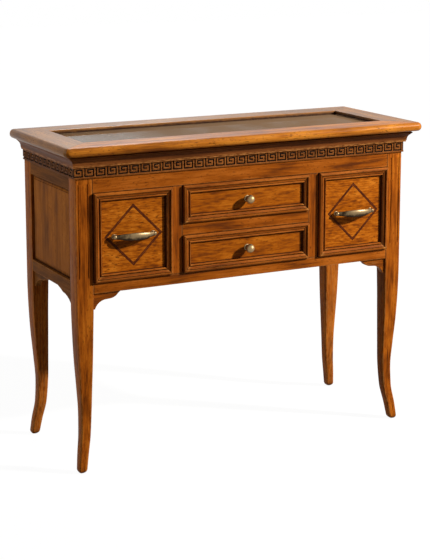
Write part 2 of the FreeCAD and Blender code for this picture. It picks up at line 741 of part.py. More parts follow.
def diamond(middle_x, middle_z, half):
    """Outline of a square that stands on its corner."""
    return [(f"{middle_x} + {half}", middle_z), (middle_x, f"{middle_z} + {half}"),
            (f"{middle_x} - {half}", middle_z), (middle_x, f"{middle_z} - {half}")]


def drawer(name, x, z, fitting, inlaid):
    """One drawer in the opening between two places each way, with its pull."""
    middle_x = f"(({x[0]} + {x[1]}) / 2)"
    middle_z = f"(({z[0]} + {z[1]}) / 2)"
    front_x = (f"({x[0]} + drawer_gap)", f"({x[1]} - drawer_gap)")
    front_z = (f"({z[0]} + drawer_gap)", f"({z[1]} - drawer_gap)")
    box_x = (f"({x[0]} + box_side_gap)", f"({x[1]} - box_side_gap)")
    inner_x = (f"({box_x[0]} + box_thick)", f"({box_x[1]} - box_thick)")
    box_low = f"({z[0]} + running_gap)"
    box_high = f"({z[1]} - box_top_gap)"
    bottom_low = f"({box_low} + bottom_lift)"
    bottom_high = f"({bottom_low} + bottom_thick)"
    length = (DRAWER_BACK, BOX_END)
    back_face = f"({BOX_END} - box_thick)"
    front = plain_body(f"{name}_front", "XZ_Plane", DRAWER_FACE, DRAWER_BACK,
                       rectangle(front_x, front_z))
    pieces = [front]
    if inlaid:
        line = [diamond(middle_x, middle_z, "inlay_span / 2"),
                diamond(middle_x, middle_z, "(inlay_span / 2 - inlay_width * sqrt(2))")]
        inlay_back = f"({DRAWER_FACE} + inlay_thick)"
        pocket(front, "XZ_Plane", DRAWER_FACE, inlay_back, line)
        pieces.append(plain_body(f"{name}_inlay", "XZ_Plane", DRAWER_FACE, inlay_back, *line))
    pieces.append(frame_moulding(f"{name}_moulding", f"{front_x[1]} - {front_x[0]}",
                                 f"{front_z[1]} - {front_z[0]}", middle_x, middle_z))
    pieces.append(group(f"{name}_box", [
        board(f"{name}_side_left", (box_x[0], inner_x[0]), length, (box_low, box_high)),
        board(f"{name}_side_right", (inner_x[1], box_x[1]), length, (box_low, box_high)),
        board(f"{name}_back", inner_x, (back_face, BOX_END), (bottom_high, box_high)),
    ]))
    pieces.append(board(f"{name}_bottom", inner_x, length, (bottom_low, bottom_high)))
    pieces.append(fitting(name, middle_x, middle_z))
    return pieces


def knob(name, middle_x, middle_z):
    """A turned ball knob on a short neck and a round plate, on the drawer front's middle."""
    body = labelled("PartDesign::Body", f"{name}_knob")
    centre = "(knob_radius - knob_reach)"
    neck_end = f"({centre} + sqrt(knob_radius ^ 2 - knob_neck_radius ^ 2))"
    corners = [
        ("0", "0"),
        ("knob_plate_radius", "0"),
        ("knob_plate_radius", "(-knob_plate_thick / 2)"),
        ("knob_neck_radius", "(-knob_plate_thick)"),
        ("knob_neck_radius", neck_end),
        ("0", "(-knob_reach)", "knob_radius", centre),
    ]
    turning = body.newObject("PartDesign::Revolution", "Turning")
    turning.Profile = sketch_on(body, "XY_Plane", "0", [corners])
    turning.ReferenceAxis = (origin_part(body, "Y_Axis"), [""])
    turning.Angle = 360
    place(body, middle_x, DRAWER_FACE, middle_z)
    return body


def handle(name, middle_x, middle_z):
    """A cast bow handle: an oval bar that swells at its middle, with end beads, posts and plates."""
    along = FreeCAD.Vector(1, 0, 0)
    upright = FreeCAD.Vector(0, 0, 1)
    outwards = FreeCAD.Vector(0, -1, 0)
    sections = []
    mirrored_shares = [(-share[0],) + share[1:] for share in reversed(HANDLE_SECTION_SHARES[1:])]
    for span_share, belly_share, depth_share, reach_share in mirrored_shares + list(HANDLE_SECTION_SHARES):
        oval = DOC.addObject("Part::Ellipse", f"{name}_bow_section")
        oval.Placement.Rotation = FreeCAD.Rotation(upright, outwards, along, "XYZ")
        bind(oval, MajorRadius=f"{belly_share} * handle_belly_radius",
             MinorRadius=f"{depth_share} * handle_bow_depth / 2",
             Placement__Base__x=f"{span_share} * handle_half_span",
             Placement__Base__y=f"handle_bow_depth / 2 - {reach_share} * handle_reach")
        sections.append(oval)
    bow = DOC.addObject("Part::Loft", f"{name}_bow")
    bow.Sections = sections
    bow.Solid = True
    pieces = [bow]
    end_depth = f"(handle_bow_depth / 2 - {HANDLE_SECTION_SHARES[-1][3]} * handle_reach)"
    for side in (-1, 1):
        bead = DOC.addObject("Part::Sphere", f"{name}_bead")
        bind(bead, Radius="handle_bead_radius")
        place(bead, f"{side} * handle_half_span", end_depth)
        pieces.append(bead)
        for part, radius, length in (("post", "handle_post_radius", f"(-{end_depth})"),
                                     ("plate", "handle_plate_radius", "handle_plate_thick")):
            post = DOC.addObject("Part::Cylinder", f"{name}_{part}")
            bind(post, Radius=radius, Height=length,
                 Placement__Base__x=f"{side} * (handle_half_span - handle_post_inset)")
            post.Placement.Rotation = FreeCAD.Rotation(upright, outwards)
            pieces.append(post)
    cast = fused(f"{name}_handle", pieces)
    place(cast, middle_x, DRAWER_FACE, middle_z)
    return cast


def drawers():
    """Deep drawers at the sides and shallow ones in the middle."""
    deep = (BAY_LOW, BAY_HIGH)
    middle = (f"(-{STILE_INNER})", STILE_INNER)
    return (
        drawer("left_drawer", span(STILE_OUTER, POST_INNER, -1), deep, handle, True)
        + drawer("right_drawer", span(STILE_OUTER, POST_INNER, 1), deep, handle, True)
        + drawer("upper_drawer", middle, (UPPER_SHALLOW_LOW, BAY_HIGH), knob, False)
        + drawer("lower_drawer", middle, (BAY_LOW, LOWER_SHALLOW_HIGH), knob, False)
    )


# Lid


def lid_blank():
    """The whole lid frame before it is parted at the mitres."""
    body = labelled("PartDesign::Body", "lid_blank")
    x = (f"(-({HALF} + top_overhang))", f"({HALF} + top_overhang)")
    y = (f"({FRONT} - top_overhang)", f"({BACK} + back_overhang)")
    slab = pad(body, "XY_Plane", LID_LOW, "total_height", [rounded_rectangle(x, y, "lid_corner_round")])
    DOC.recompute()
    levels = (value(LID_LOW), value("total_height"))
    rims = [
        f"Edge{number}" for number, edge in enumerate(slab.Shape.Edges, start=1)
        if any(abs(edge.BoundBox.ZMin - level) + abs(edge.BoundBox.ZMax - level) < 1e-3 for level in levels)
    ]
    nose = body.newObject("PartDesign::Fillet", "Bullnose")
    nose.Base = (slab, rims)
    bind(nose, Radius="bullnose_radius")
    body.Tip = nose
    pane_x = inset(x, "lid_rail_width")
    pane_y = inset(y, "lid_rail_width")
    pocket(body, "XY_Plane", LID_LOW, "total_height", [rectangle(pane_x, pane_y)])
    rebate = [rectangle(inset(pane_x, "(-glass_lap)"), inset(pane_y, "(-glass_lap)"))]
    pocket(body, "XY_Plane", LID_LOW, "(total_height - glass_drop)", rebate)
    seats = [rectangle(leaf_span(middle), (f"{BACK} - leaf_reach", f"{BACK} + back_overhang + overrun"))
             for middle in hinge_places()]
    pocket(body, "XY_Plane", LID_LOW, f"({LID_LOW} + leaf_thick)", seats)
    return body, x, y, pane_x, pane_y


def inset(ends, amount):
    """Two places, each moved towards the other."""
    return (f"({ends[0]} + {amount})", f"({ends[1]} - {amount})")


def lid():
    """Four mitred rails, the pane and the beads under it."""
    blank, x, y, pane_x, pane_y = lid_blank()
    # each zone runs from an outer edge to past the inner one along the mitre lines
    mitre = "(lid_rail_width + overrun)"
    inner_x = inset(x, mitre)
    inner_y = inset(y, mitre)
    low = f"({LID_LOW} - overrun)"
    high = "(total_height + overrun)"
    zones = {
        "front": [(x[0], y[0]), (x[1], y[0]), (inner_x[1], inner_y[0]), (inner_x[0], inner_y[0])],
        "right": [(x[1], y[0]), (x[1], y[1]), (inner_x[1], inner_y[1]), (inner_x[1], inner_y[0])],
        "back": [(x[1], y[1]), (x[0], y[1]), (inner_x[0], inner_y[1]), (inner_x[1], inner_y[1])],
        "left": [(x[0], y[1]), (x[0], y[0]), (inner_x[0], inner_y[0]), (inner_x[0], inner_y[1])],
    }
    rails = []
    for name, corners in zones.items():
        rail = labelled("Part::Common", f"lid_rail_{name}")
        rail.Base = blank
        rail.Tool = plain_body(f"lid_zone_{name}", "XY_Plane", low, high, corners)
        rails.append(rail)
    pane_high = "(total_height - glass_drop)"
    pane_low = f"({pane_high} - glass_thick)"
    rebate_x = inset(pane_x, "(-glass_lap)")
    rebate_y = inset(pane_y, "(-glass_lap)")
    glass = board("lid_glass", inset(rebate_x, "glass_play"), inset(rebate_y, "glass_play"),
                  (pane_low, pane_high))
    bead_z = (f"({pane_low} - bead_height)", pane_low)
    beads = [
        board("bead_front", rebate_x, (rebate_y[0], pane_y[0]), bead_z),
        board("bead_back", rebate_x, (pane_y[1], rebate_y[1]), bead_z),
        board("bead_left", (rebate_x[0], pane_x[0]), pane_y, bead_z),
        board("bead_right", (pane_x[1], rebate_x[1]), pane_y, bead_z),
    ]
    return rails + [glass, group("glass_beads", beads)]


def round_bar(label, middle, low, high, radius):
    """A round bar along the hinge axis, between two places from the hinge's middle."""
    bar = labelled("Part::Cylinder", label)
    bar.Placement.Rotation = FreeCAD.Rotation(FreeCAD.Vector(0, 0, 1), FreeCAD.Vector(1, 0, 0))
    bind(bar, Radius=radius, Height=distance(low, high), Placement__Base__x=f"{middle} + {low}",
         Placement__Base__y=HINGE_AXIS, Placement__Base__z=HINGE_LEVEL)
    return bar


def hinge_leaf(label, middle, levels, knuckles, bore):
    """A leaf with its knuckles, bored for the pin. The knuckles are numbers from 0 to 4."""
    pieces = [board(f"{label}_plate", leaf_span(middle), (f"({BACK} - leaf_reach)", BACK), levels)]
    pitch = "(leaf_length / 5)"
    for number in knuckles:
        low = f"(-leaf_length / 2 + {number} * {pitch} + knuckle_gap / 2)"
        high = f"(-leaf_length / 2 + {number + 1} * {pitch} - knuckle_gap / 2)"
        pieces.append(round_bar(f"{label}_knuckle", middle, low, high, "knuckle_radius"))
        pieces.append(board(f"{label}_tab", (f"({middle} + {low})", f"({middle} + {high})"),
                            (f"({BACK} - knuckle_gap)", HINGE_AXIS), levels))
    leaf = labelled("Part::Cut", label)
    leaf.Base = fused(f"{label}_solid", pieces)
    leaf.Tool = round_bar(f"{label}_bore", middle, "(-leaf_length)", "leaf_length", bore)
    return leaf


def hinges():
    """Two butt hinges: leaves on the case with three knuckles, leaves on the lid with two, and pins."""
    case_levels = (f"({CASE_TOP} - leaf_thick)", CASE_TOP)
    lid_levels = (LID_LOW, f"({LID_LOW} + leaf_thick)")
    case_leaves = []
    lid_leaves = []
    pins = []
    for name, middle in zip(("left", "right"), hinge_places()):
        case_leaves.append(hinge_leaf(f"case_leaf_{name}", middle, case_levels, (0, 2, 4), "pin_radius"))
        lid_leaves.append(hinge_leaf(f"lid_leaf_{name}", middle, lid_levels, (1, 3),
                                     "(pin_radius + pin_play)"))
        pins.append(round_bar(f"hinge_pin_{name}", middle, "(-leaf_length / 2)", "(leaf_length / 2)",
                              "pin_radius"))
    return [
        group("hinge_leaves_case", case_leaves),
        group("hinge_leaves_lid", lid_leaves),
        group("hinge_pins", pins),
    ]


def build():
    """Every sub-part of the table, in the order of assembly."""
    nodes = legs() + front_frame() + side_frame("left", -1) + side_frame("right", 1)
    nodes += back_frame() + friezes() + cornices() + brackets()
    nodes += case_inside() + runners_and_stops() + drawers() + lid() + hinges()
    return nodes


def check_objects():
    """Stop if any object of the document failed."""
    for thing in DOC.Objects:
        if {"Invalid", "Error"} & set(thing.State):
            raise ValueError(f"{thing.Label} failed: {thing.State}")


def check_node(node):
    """Stop if a sub-part's shape is missing or not valid."""
    if node.Shape.isNull() or not node.Shape.isValid() or not node.Shape.Solids:
        raise ValueError(f"{node.Label} has no valid solid")


def write(nodes):
    """Write one STEP file for each sub-part."""
    os.makedirs("parts", exist_ok=True)
    for node in nodes:
        check_node(node)
        node.Shape.exportStep(f"parts/{node.Label}.step")
    print(len(nodes), "sub-parts written")


fill_sheet()
NODES = build()
DOC.recompute()
check_objects()
write(NODES)
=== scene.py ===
"""Looks of the display console table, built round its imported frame. Metres, front towards -Y."""

import logging
import math
from dataclasses import dataclass
from enum import Enum
from functools import cache
from itertools import product
from typing import Any, Callable, Sequence

import bmesh
import bpy
from mathutils import Matrix, Vector


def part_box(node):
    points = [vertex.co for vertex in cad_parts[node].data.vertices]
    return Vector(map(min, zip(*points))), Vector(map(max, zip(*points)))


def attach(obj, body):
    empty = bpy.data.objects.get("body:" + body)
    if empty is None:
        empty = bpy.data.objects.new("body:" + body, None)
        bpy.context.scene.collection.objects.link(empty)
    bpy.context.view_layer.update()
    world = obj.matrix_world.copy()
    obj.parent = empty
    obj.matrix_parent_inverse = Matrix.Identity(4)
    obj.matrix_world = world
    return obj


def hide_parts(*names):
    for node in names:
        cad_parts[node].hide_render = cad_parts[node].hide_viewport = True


LOG = logging.getLogger("console_table")

Triple = tuple[float, float, float]
Colour = Triple
Section = list[tuple[float, float, float, float]]
Outline = Sequence[tuple[float, float]]
Shares = tuple[tuple[float, ...], ...]
Measure = Callable[[Vector], float]
Values = dict[str | int, Any]

# Half the width over the corner posts, and where their fronts and backs are.
POST_HALF = 0.483
POST_FRONT = -0.161
POST_BACK = 0.197

# A strip at 45 degrees is so much wider along the level than across itself.
DIAGONAL = math.sqrt(2)


class Body(str, Enum):
    """The bodies that pieces ride on."""

    CARCASS = "carcass"
    LEFT = "left_drawer"
    RIGHT = "right_drawer"
    UPPER = "upper_drawer"
    LOWER = "lower_drawer"
    LID = "lid"


class Slot(str, Enum):
    """The record's material slots, passed along with each piece."""

    FRAME = "frame_wood"
    PANEL = "panel_wood"
    MOULDING = "moulding_wood"
    INLAY = "inlay_wood"
    FRIEZE = "frieze_wood"
    BRASS = "antique_brass"


class Axis(Enum):
    """Which way a board's grain runs, as the order in which its own axes are read."""

    X = (0, 1, 2)
    Y = (1, 2, 0)
    Z = (2, 0, 1)


class Side(Enum):
    """Left or right, as the sign of X."""

    LEFT = -1
    RIGHT = 1


class Wire:
    """A socket that takes part in sums."""

    def __init__(self, nodes: "Nodes", socket: bpy.types.NodeSocket) -> None:
        """Keep the socket and the nodes that it belongs to."""
        self.nodes = nodes
        self.socket = socket

    def __add__(self, other: "Wire | float") -> "Wire":
        """This plus the other."""
        return self.nodes.sum("ADD", self, other)

    def __radd__(self, other: float) -> "Wire":
        """The number plus this."""
        return self.nodes.sum("ADD", other, self)

    def __sub__(self, other: "Wire | float") -> "Wire":
        """This less the other."""
        return self.nodes.sum("SUBTRACT", self, other)

    def __rsub__(self, other: float) -> "Wire":
        """The number less this."""
        return self.nodes.sum("SUBTRACT", other, self)

    def __mul__(self, other: "Wire | float") -> "Wire":
        """This times the other."""
        return self.nodes.sum("MULTIPLY", self, other)

    def __rmul__(self, other: float) -> "Wire":
        """The number times this."""
        return self.nodes.sum("MULTIPLY", other, self)

    def __pow__(self, other: "Wire | float") -> "Wire":
        """This to the power of the other."""
        return self.nodes.sum("POWER", self, other)


class Nodes:
    """A node tree, and the ways in which its nodes are made."""

    def __init__(self, tree: bpy.types.NodeTree) -> None:
        """Keep the tree, emptied."""
        self.tree = tree
        tree.nodes.clear()

    def make(self, kind: str, settings: Values | None = None,
             inputs: Values | None = None) -> bpy.types.Node:
        """Make one node.

        Args:
            kind: The node's type.
            settings: Its own settings. "stops" are a colour ramp's places and colours.
            inputs: Values or wires for its sockets, by name or number.

        Returns:
            The node.
        """
        made = self.tree.nodes.new(kind)
        for key, value in (settings or {}).items():
            if key != "stops":
                setattr(made, key, value)
                continue
            ramp = made.color_ramp.elements
            while len(ramp) < len(value):
                ramp.new(1.0)
            for element, (place, colour) in zip(ramp, value):
                element.position, element.color = place, (*colour, 1.0)
        for key, value in (inputs or {}).items():
            socket = made.inputs[key]
            if isinstance(value, Wire):
                self.tree.links.new(value.socket, socket)
            else:
                socket.default_value = (*value, 1.0) if socket.type == "RGBA" else value
        return made

    def node(self, kind: str, settings: Values | None = None, inputs: Values | None = None,
             output: int | str = 0) -> Wire:
        """Make one node and take one of its outputs, by name or number."""
        return Wire(self, self.make(kind, settings, inputs).outputs[output])

    def sum(self, operation: str, *terms: "Wire | float") -> Wire:
        """A Math node of that operation on the terms."""
        return self.node("ShaderNodeMath", {"operation": operation}, dict(enumerate(terms)))

    def vector(self, operation: str, *terms: "Wire | Triple", output: int = 0) -> Wire:
        """A Vector Math node of that operation on the terms: output 1 is its number."""
        return self.node("ShaderNodeVectorMath", {"operation": operation},
                         dict(enumerate(terms)), output)


class Bench(Nodes):
    """The nodes of one material or world."""

    def __init__(self, holder: "bpy.types.Material | bpy.types.World") -> None:
        """Empty the holder's node tree.

        Args:
            holder: The material or world.
        """
        holder.use_nodes = True
        super().__init__(holder.node_tree)
        self.holder = holder

    def clamp(self, value: Wire, low: float, high: float) -> Wire:
        """The value's place between low and high, held to 0 and 1 and eased at both ends."""
        return self.node("ShaderNodeMapRange", {"interpolation_type": "SMOOTHSTEP"},
                         {0: value, 1: low, 2: high, 3: 0.0, 4: 1.0})

    def blend(self, share: "Wire | float", first: "Wire | Colour", second: "Wire | Colour") -> Wire:
        """The first colour going over to the second by the share."""
        return self.node("ShaderNodeMix", {"data_type": "RGBA"}, {0: share, 6: first, 7: second}, 2)

    def noise(self, place: Wire, stretch: Triple, detail: float, roughness: float,
              output: int = 0) -> Wire:
        """Noise over the place.

        Args:
            place: The coordinates, in metres.
            stretch: Features to the metre along each axis.
            detail: How many finer layers are added.
            roughness: How strong the finer layers are.
            output: 0 for the value, 1 for a colour that is used as a vector.

        Returns:
            The noise.
        """
        return self.node("ShaderNodeTexNoise", {"noise_dimensions": "3D"}, {
            "Vector": self.vector("MULTIPLY", place, stretch), "Scale": 1.0, "Detail": detail,
            "Roughness": roughness}, output)

    def carried(self, name: str, output: int) -> Wire:
        """An attribute that the piece's mesh carries: output 1 is its vector, 2 its number."""
        return self.node("ShaderNodeAttribute", {
            "attribute_type": "GEOMETRY", "attribute_name": name}, output=output)

    def object_place(self) -> Wire:
        """Object coordinates, in metres."""
        return self.node("ShaderNodeTexCoord", output=3)

    def relief(self, height: Wire, depth: float, strength: float) -> Wire:
        """A Bump node on the height, as deep as depth in metres."""
        return self.node("ShaderNodeBump", inputs={
            "Strength": strength, "Distance": depth, "Height": height})

    def principled(self, inputs: Values) -> Wire:
        """A Principled shader with these inputs."""
        return self.node("ShaderNodeBsdfPrincipled", inputs=inputs)

    def mix(self, share: Wire, first: Wire, second: Wire) -> Wire:
        """The first shader going over to the second by the share."""
        return self.node("ShaderNodeMixShader", inputs={0: share, 1: first, 2: second})

    def finish(self, surface: Wire) -> "bpy.types.Material | bpy.types.World":
        """End the tree.

        Args:
            surface: The shader to show.

        Returns:
            The material or world.
        """
        kind = "World" if isinstance(self.holder, bpy.types.World) else "Material"
        self.make(f"ShaderNodeOutput{kind}", inputs={"Surface": surface})
        return self.holder


@dataclass(frozen=True)
class Wood:
    """A stained and lacquered wood, with dark glaze and painted shade in its coves, and wear and
    painted highlight on its edges.
    """

    name: str
    deep: Colour
    middle: Colour
    pale: Colour
    # Colour that glaze and painted shade darken the wood to.
    glaze: Colour = (0.030, 0.010, 0.004)
    # Colour of worn edges, also laid on ridges and the cornice fillet as painted highlight.
    worn: Colour = (0.50, 0.20, 0.05)
    figure: float = 0.55
    streak: float = 0.40
    fleck: float = 0.65
    wave: float = 0.010
    band: float = 70.0
    length: float = 16.0
    drift: float = 1.3
    roughness: float = 0.40
    specular: float = 0.04
    loose: Axis | None = None

    def build(self) -> bpy.types.Material:
        """Make the material.

        Returns:
            The material. With loose set it reads Object coordinates along that axis, and
            otherwise the "board" coordinates that the pieces carry.
        """
        bench = Bench(bpy.data.materials.new(self.name))
        place, glaze_and_shade_share, wear_and_highlight_share = self._places(bench)
        drift = bench.noise(place, (4.0, 16.0, 16.0), 2.0, 0.5, 1)
        pushed = bench.vector("MULTIPLY", bench.vector("SUBTRACT", drift, (0.5, 0.5, 0.5)),
                              (0.0, self.wave * 2, self.wave * 2))
        bent = bench.vector("ADD", place, pushed)
        bands = bench.noise(bent, (self.band / self.length, self.band, self.band), 3.0, 0.55)
        streaks = bench.noise(bent, (11.0, 430.0, 430.0), 3.0, 0.65)
        cloud = bench.noise(place, (8.0, 20.0, 20.0), 3.0, 0.55)
        tone = (0.5 + (bands - 0.5) * (self.figure * 2.6) + (streaks - 0.5) * (self.streak * 2.2)
                + (cloud - 0.5) * self.drift)
        wood = bench.node("ShaderNodeValToRGB", {"stops": (
            (0.0, self.deep), (0.5, self.middle), (1.0, self.pale))}, {0: tone})
        specks = bench.clamp(bench.noise(bent, (95.0, 520.0, 520.0), 1.0, 0.4), 0.615, 0.70)
        marks = specks * bench.clamp(cloud, 0.40, 0.62) * self.fleck
        flecked = bench.blend(marks, wood, tuple(0.30 * part for part in self.deep))
        breakup = bench.noise(place, (60.0, 260.0, 260.0), 3.0, 0.6)
        # The wear share holds real wear and painted highlight on ridges and the cornice fillet.
        rub = wear_and_highlight_share * bench.clamp(breakup, 0.34, 0.62)
        # The glaze share holds real glaze and painted shade: darkened strips, undersides, recesses
        # and lines.
        dark = bench.clamp(glaze_and_shade_share + (breakup - 0.5) * 0.7, 0.18, 0.85)
        return bench.finish(bench.principled({
            "Base Color": bench.blend(dark, bench.blend(rub, flecked, self.worn), self.glaze),
            "Roughness": (self.roughness + (cloud - 0.5) * 0.20 + dark * 0.22
                          + (streaks - 0.5) * 0.10),
            "Specular IOR Level": self.specular,
            "Normal": bench.relief(streaks * 0.7 - specks * 0.8, 0.00012, 0.55),
        }))

    def _places(self, bench: Bench) -> "tuple[Wire, Wire | float, Wire | float]":
        """Where the grain, the glaze with painted shade and the wear with painted highlight are
        read.

        Args:
            bench: Where the nodes are made.

        Returns:
            The coordinates with the grain along their first axis, the glaze with painted shade, and
            the wear with painted highlight.
        """
        if self.loose is None:
            return bench.carried("board", 1), bench.carried("glaze", 2), bench.carried("wear", 2)
        place = bench.object_place()
        if self.loose is Axis.Y:
            place = bench.node("ShaderNodeMapping", inputs={
                "Vector": place, "Rotation": (0.0, 0.0, -math.pi / 2)})
        return place, 0.0, 0.0


@dataclass(frozen=True)
class Brass:
    """Aged cast brass: pale where hands rub it, brown in its hollows and where shade is painted on.
    """

    name: str = "antique brass"
    pale: Colour = (0.215, 0.145, 0.070)
    dull: Colour = (0.030, 0.017, 0.008)
    roughness: float = 0.41

    def build(self) -> bpy.types.Material:
        """Make the material.

        Returns:
            The material.
        """
        bench = Bench(bpy.data.materials.new(self.name))
        place = bench.object_place()
        cloud = bench.noise(place, (90.0, 90.0, 90.0), 3.0, 0.6)
        grit = bench.noise(place, (900.0, 900.0, 900.0), 2.0, 0.6)
        # The carried value holds patina and, on the bow handle, painted shade on its lower half and
        # a painted dark reflection at its left end.
        aged = bench.clamp(bench.carried("glaze", 2) + (cloud - 0.5) * 1.3, 0.10, 0.80)
        return bench.finish(bench.principled({
            "Base Color": bench.blend(aged, self.pale, self.dull),
            "Metallic": 0.92,
            "Roughness": self.roughness + aged * 0.22 + (grit - 0.5) * 0.12,
            "Normal": bench.relief(grit * 0.6 + cloud, 0.00010, 0.4),
        }))


@dataclass(frozen=True)
class Glass:
    """A clear pane with faint dust on it."""

    name: str = "pane glass"
    tint: Colour = (0.86, 0.90, 0.88)
    dust: Colour = (0.230, 0.140, 0.078)

    def build(self) -> bpy.types.Material:
        """Make the material.

        Returns:
            The material.
        """
        bench = Bench(bpy.data.materials.new(self.name))
        place = bench.object_place()
        dust = bench.clamp(bench.noise(place, (9.0, 5.0, 5.0), 4.0, 0.6), 0.32, 0.72)
        clear = bench.principled({
            "Base Color": self.tint, "Roughness": 0.015 + dust * 0.03, "IOR": 1.5,
            "Specular IOR Level": 0.20, "Transmission Weight": 1.0})
        film = bench.node("ShaderNodeBsdfDiffuse", inputs={"Color": self.dust})
        glancing = bench.node("ShaderNodeLayerWeight", inputs={"Blend": 0.5}, output="Facing")
        along = bench.node("ShaderNodeSeparateXYZ", inputs={0: place})
        # Painted reflection: the dust film thins towards the left end to change the pane's
        # brightness across it.
        left = bench.clamp(along * -1.0, 0.05, 0.42)
        cover = (0.04 + glancing ** 4.0 * 1.82) * (0.84 + dust * 0.16) * (1.0 - left * 0.34)
        return bench.finish(bench.mix(cover, clear, film))


@dataclass(frozen=True)
class Felt:
    """Short dark felt with a little lint."""

    name: str = "case felt"
    nap: Colour = (0.115, 0.088, 0.062)
    worn: Colour = (0.20, 0.155, 0.11)

    def build(self) -> bpy.types.Material:
        """Make the material.

        Returns:
            The material.
        """
        bench = Bench(bpy.data.materials.new(self.name))
        place = bench.object_place()
        fibre = bench.noise(place, (1500.0, 1500.0, 1500.0), 2.0, 0.7)
        cloud = bench.noise(place, (14.0, 14.0, 14.0), 3.0, 0.6)
        share = bench.clamp(cloud * 0.6 + fibre * 0.4, 0.35, 0.65)
        return bench.finish(bench.principled({
            "Base Color": bench.blend(share, self.nap, self.worn),
            "Roughness": 0.92 - share * 0.05,
            "Specular IOR Level": 0.2,
            "Sheen Weight": 0.25,
            "Normal": bench.relief(fibre, 0.0003, 0.6),
        }))


PALE_WOOD = {"deep": (0.30, 0.170, 0.075), "middle": (0.46, 0.290, 0.150),
             "pale": (0.58, 0.400, 0.230), "fleck": 0.2, "roughness": 0.6}
LID_FIGURE = {"figure": 0.7, "streak": 0.8, "fleck": 0.9, "wave": 0.005, "drift": 1.8,
              "roughness": 0.32}
# Near-black colour of the frieze's glaze and of the painted shade in its sunk ground.
FRIEZE_GLAZE_AND_SHADE = (0.010, 0.004, 0.002)


class Finish(Enum):
    """Every finish of the table."""

    PANEL = Wood("wavy panel wood", (0.140, 0.031, 0.0035), (0.380, 0.092, 0.0030),
                 (0.580, 0.175, 0.0120), figure=0.80, streak=0.35, fleck=0.90, wave=0.010,
                 band=210.0, length=4.5)
    SMALL_PANEL = Wood("narrow panel wood", (0.130, 0.029, 0.0035), (0.330, 0.080, 0.0030),
                       (0.490, 0.140, 0.0080), figure=0.70, streak=0.35, wave=0.010, band=180.0,
                       length=6.0, drift=1.6)
    RAIL = Wood("rail wood", (0.105, 0.024, 0.0035), (0.295, 0.070, 0.0035),
                (0.430, 0.115, 0.0110), figure=0.75, streak=0.60, drift=1.9)
    STILE = Wood("reddish stile wood", (0.085, 0.019, 0.0030), (0.290, 0.066, 0.0040),
                 (0.450, 0.115, 0.0080), figure=0.5, streak=0.6, wave=0.005, drift=1.6)
    POST = Wood("streaky post wood", (0.110, 0.024, 0.0025), (0.330, 0.077, 0.0050),
                (0.500, 0.140, 0.0100), figure=0.65, streak=0.75, wave=0.004, band=150.0,
                drift=1.6, specular=0.025)
    SIDE = Wood("side rail wood", (0.070, 0.024, 0.0055), (0.190, 0.066, 0.0140),
                (0.300, 0.108, 0.0220), figure=0.5, streak=0.5, drift=1.6, specular=0.008)
    SIDE_PANEL = Wood("side panel wood", (0.180, 0.055, 0.0080), (0.370, 0.117, 0.0170),
                      (0.500, 0.170, 0.0280), figure=0.6, streak=0.5, drift=1.6, specular=0.008)
    # Its bright worn colour is both wear and a painted highlight on the ridges.
    MOULDING = Wood("moulding wood", (0.120, 0.027, 0.0035), (0.270, 0.065, 0.0060),
                    (0.410, 0.112, 0.0110), worn=(0.66, 0.27, 0.06), figure=0.6, streak=0.8,
                    wave=0.004, specular=0.025)
    CORNICE = Wood("cornice wood", (0.070, 0.021, 0.0045), (0.155, 0.044, 0.0095),
                   (0.240, 0.074, 0.0150), figure=0.4, streak=0.5, wave=0.004)
    LID = Wood("lid end wood", (0.110, 0.042, 0.0110), (0.260, 0.105, 0.0230),
               (0.410, 0.175, 0.0420), specular=0.09, **LID_FIGURE)
    LID_FRONT = Wood("lid front wood", (0.190, 0.050, 0.0050), (0.450, 0.138, 0.0110),
                     (0.640, 0.230, 0.0240), specular=0.05, **LID_FIGURE)
    FRIEZE = Wood("carved frieze wood", (0.090, 0.024, 0.0050), (0.175, 0.048, 0.0070),
                  (0.290, 0.088, 0.0150), FRIEZE_GLAZE_AND_SHADE, figure=0.5, streak=0.6)
    SIDE_FRIEZE = Wood("side frieze wood", (0.060, 0.018, 0.0045), (0.130, 0.040, 0.0100),
                       (0.210, 0.070, 0.0180), FRIEZE_GLAZE_AND_SHADE, figure=0.5, streak=0.6,
                       specular=0.02)
    INLAY = Wood("dark inlay wood", (0.050, 0.011, 0.0030), (0.110, 0.023, 0.0050),
                 (0.180, 0.042, 0.0080), (0.025, 0.007, 0.003), streak=0.7)
    INSIDE = Wood("plain inside wood x", loose=Axis.X, **PALE_WOOD)
    INSIDE_DEEP = Wood("plain inside wood y", loose=Axis.Y, **PALE_WOOD)
    BACK = Wood("stained back wood", (0.200, 0.080, 0.0260), (0.330, 0.145, 0.0520),
                (0.430, 0.210, 0.0850), figure=0.6, streak=0.5, fleck=0.3, roughness=0.6,
                loose=Axis.X)
    BRASS = Brass()
    RUBBED_BRASS = Brass("rubbed brass", (0.330, 0.220, 0.105), (0.065, 0.038, 0.016), 0.50)
    GLASS = Glass()
    FELT = Felt()

    @cache
    def material(self) -> bpy.types.Material:
        """The material, made the first time that it is wanted."""
        return self.value.build()


@dataclass
class Grain:
    """How the grain lies in one board: its axis, and a shift so that no two boards match."""

    axis: Axis = Axis.X
    seed: int = 0

    def place(self, point: Vector) -> Triple:
        """Where a point was in the tree that the board was cut from.

        Args:
            point: The point.

        Returns:
            Its place, with the grain along the first axis.
        """
        shift = (math.sin(self.seed * 12.9898) * 3.1, math.sin(self.seed * 78.233) * 1.7,
                 math.sin(self.seed * 37.719) * 2.3)
        return tuple(point[axis] + part for axis, part in zip(self.axis.value, shift))


def link(name: str, data: bpy.types.ID) -> bpy.types.Object:
    """Put a new object into the scene.

    Args:
        name: Its name.
        data: Its mesh, light or camera.

    Returns:
        The object.
    """
    made = bpy.data.objects.new(name, data)
    bpy.context.scene.collection.objects.link(made)
    return made


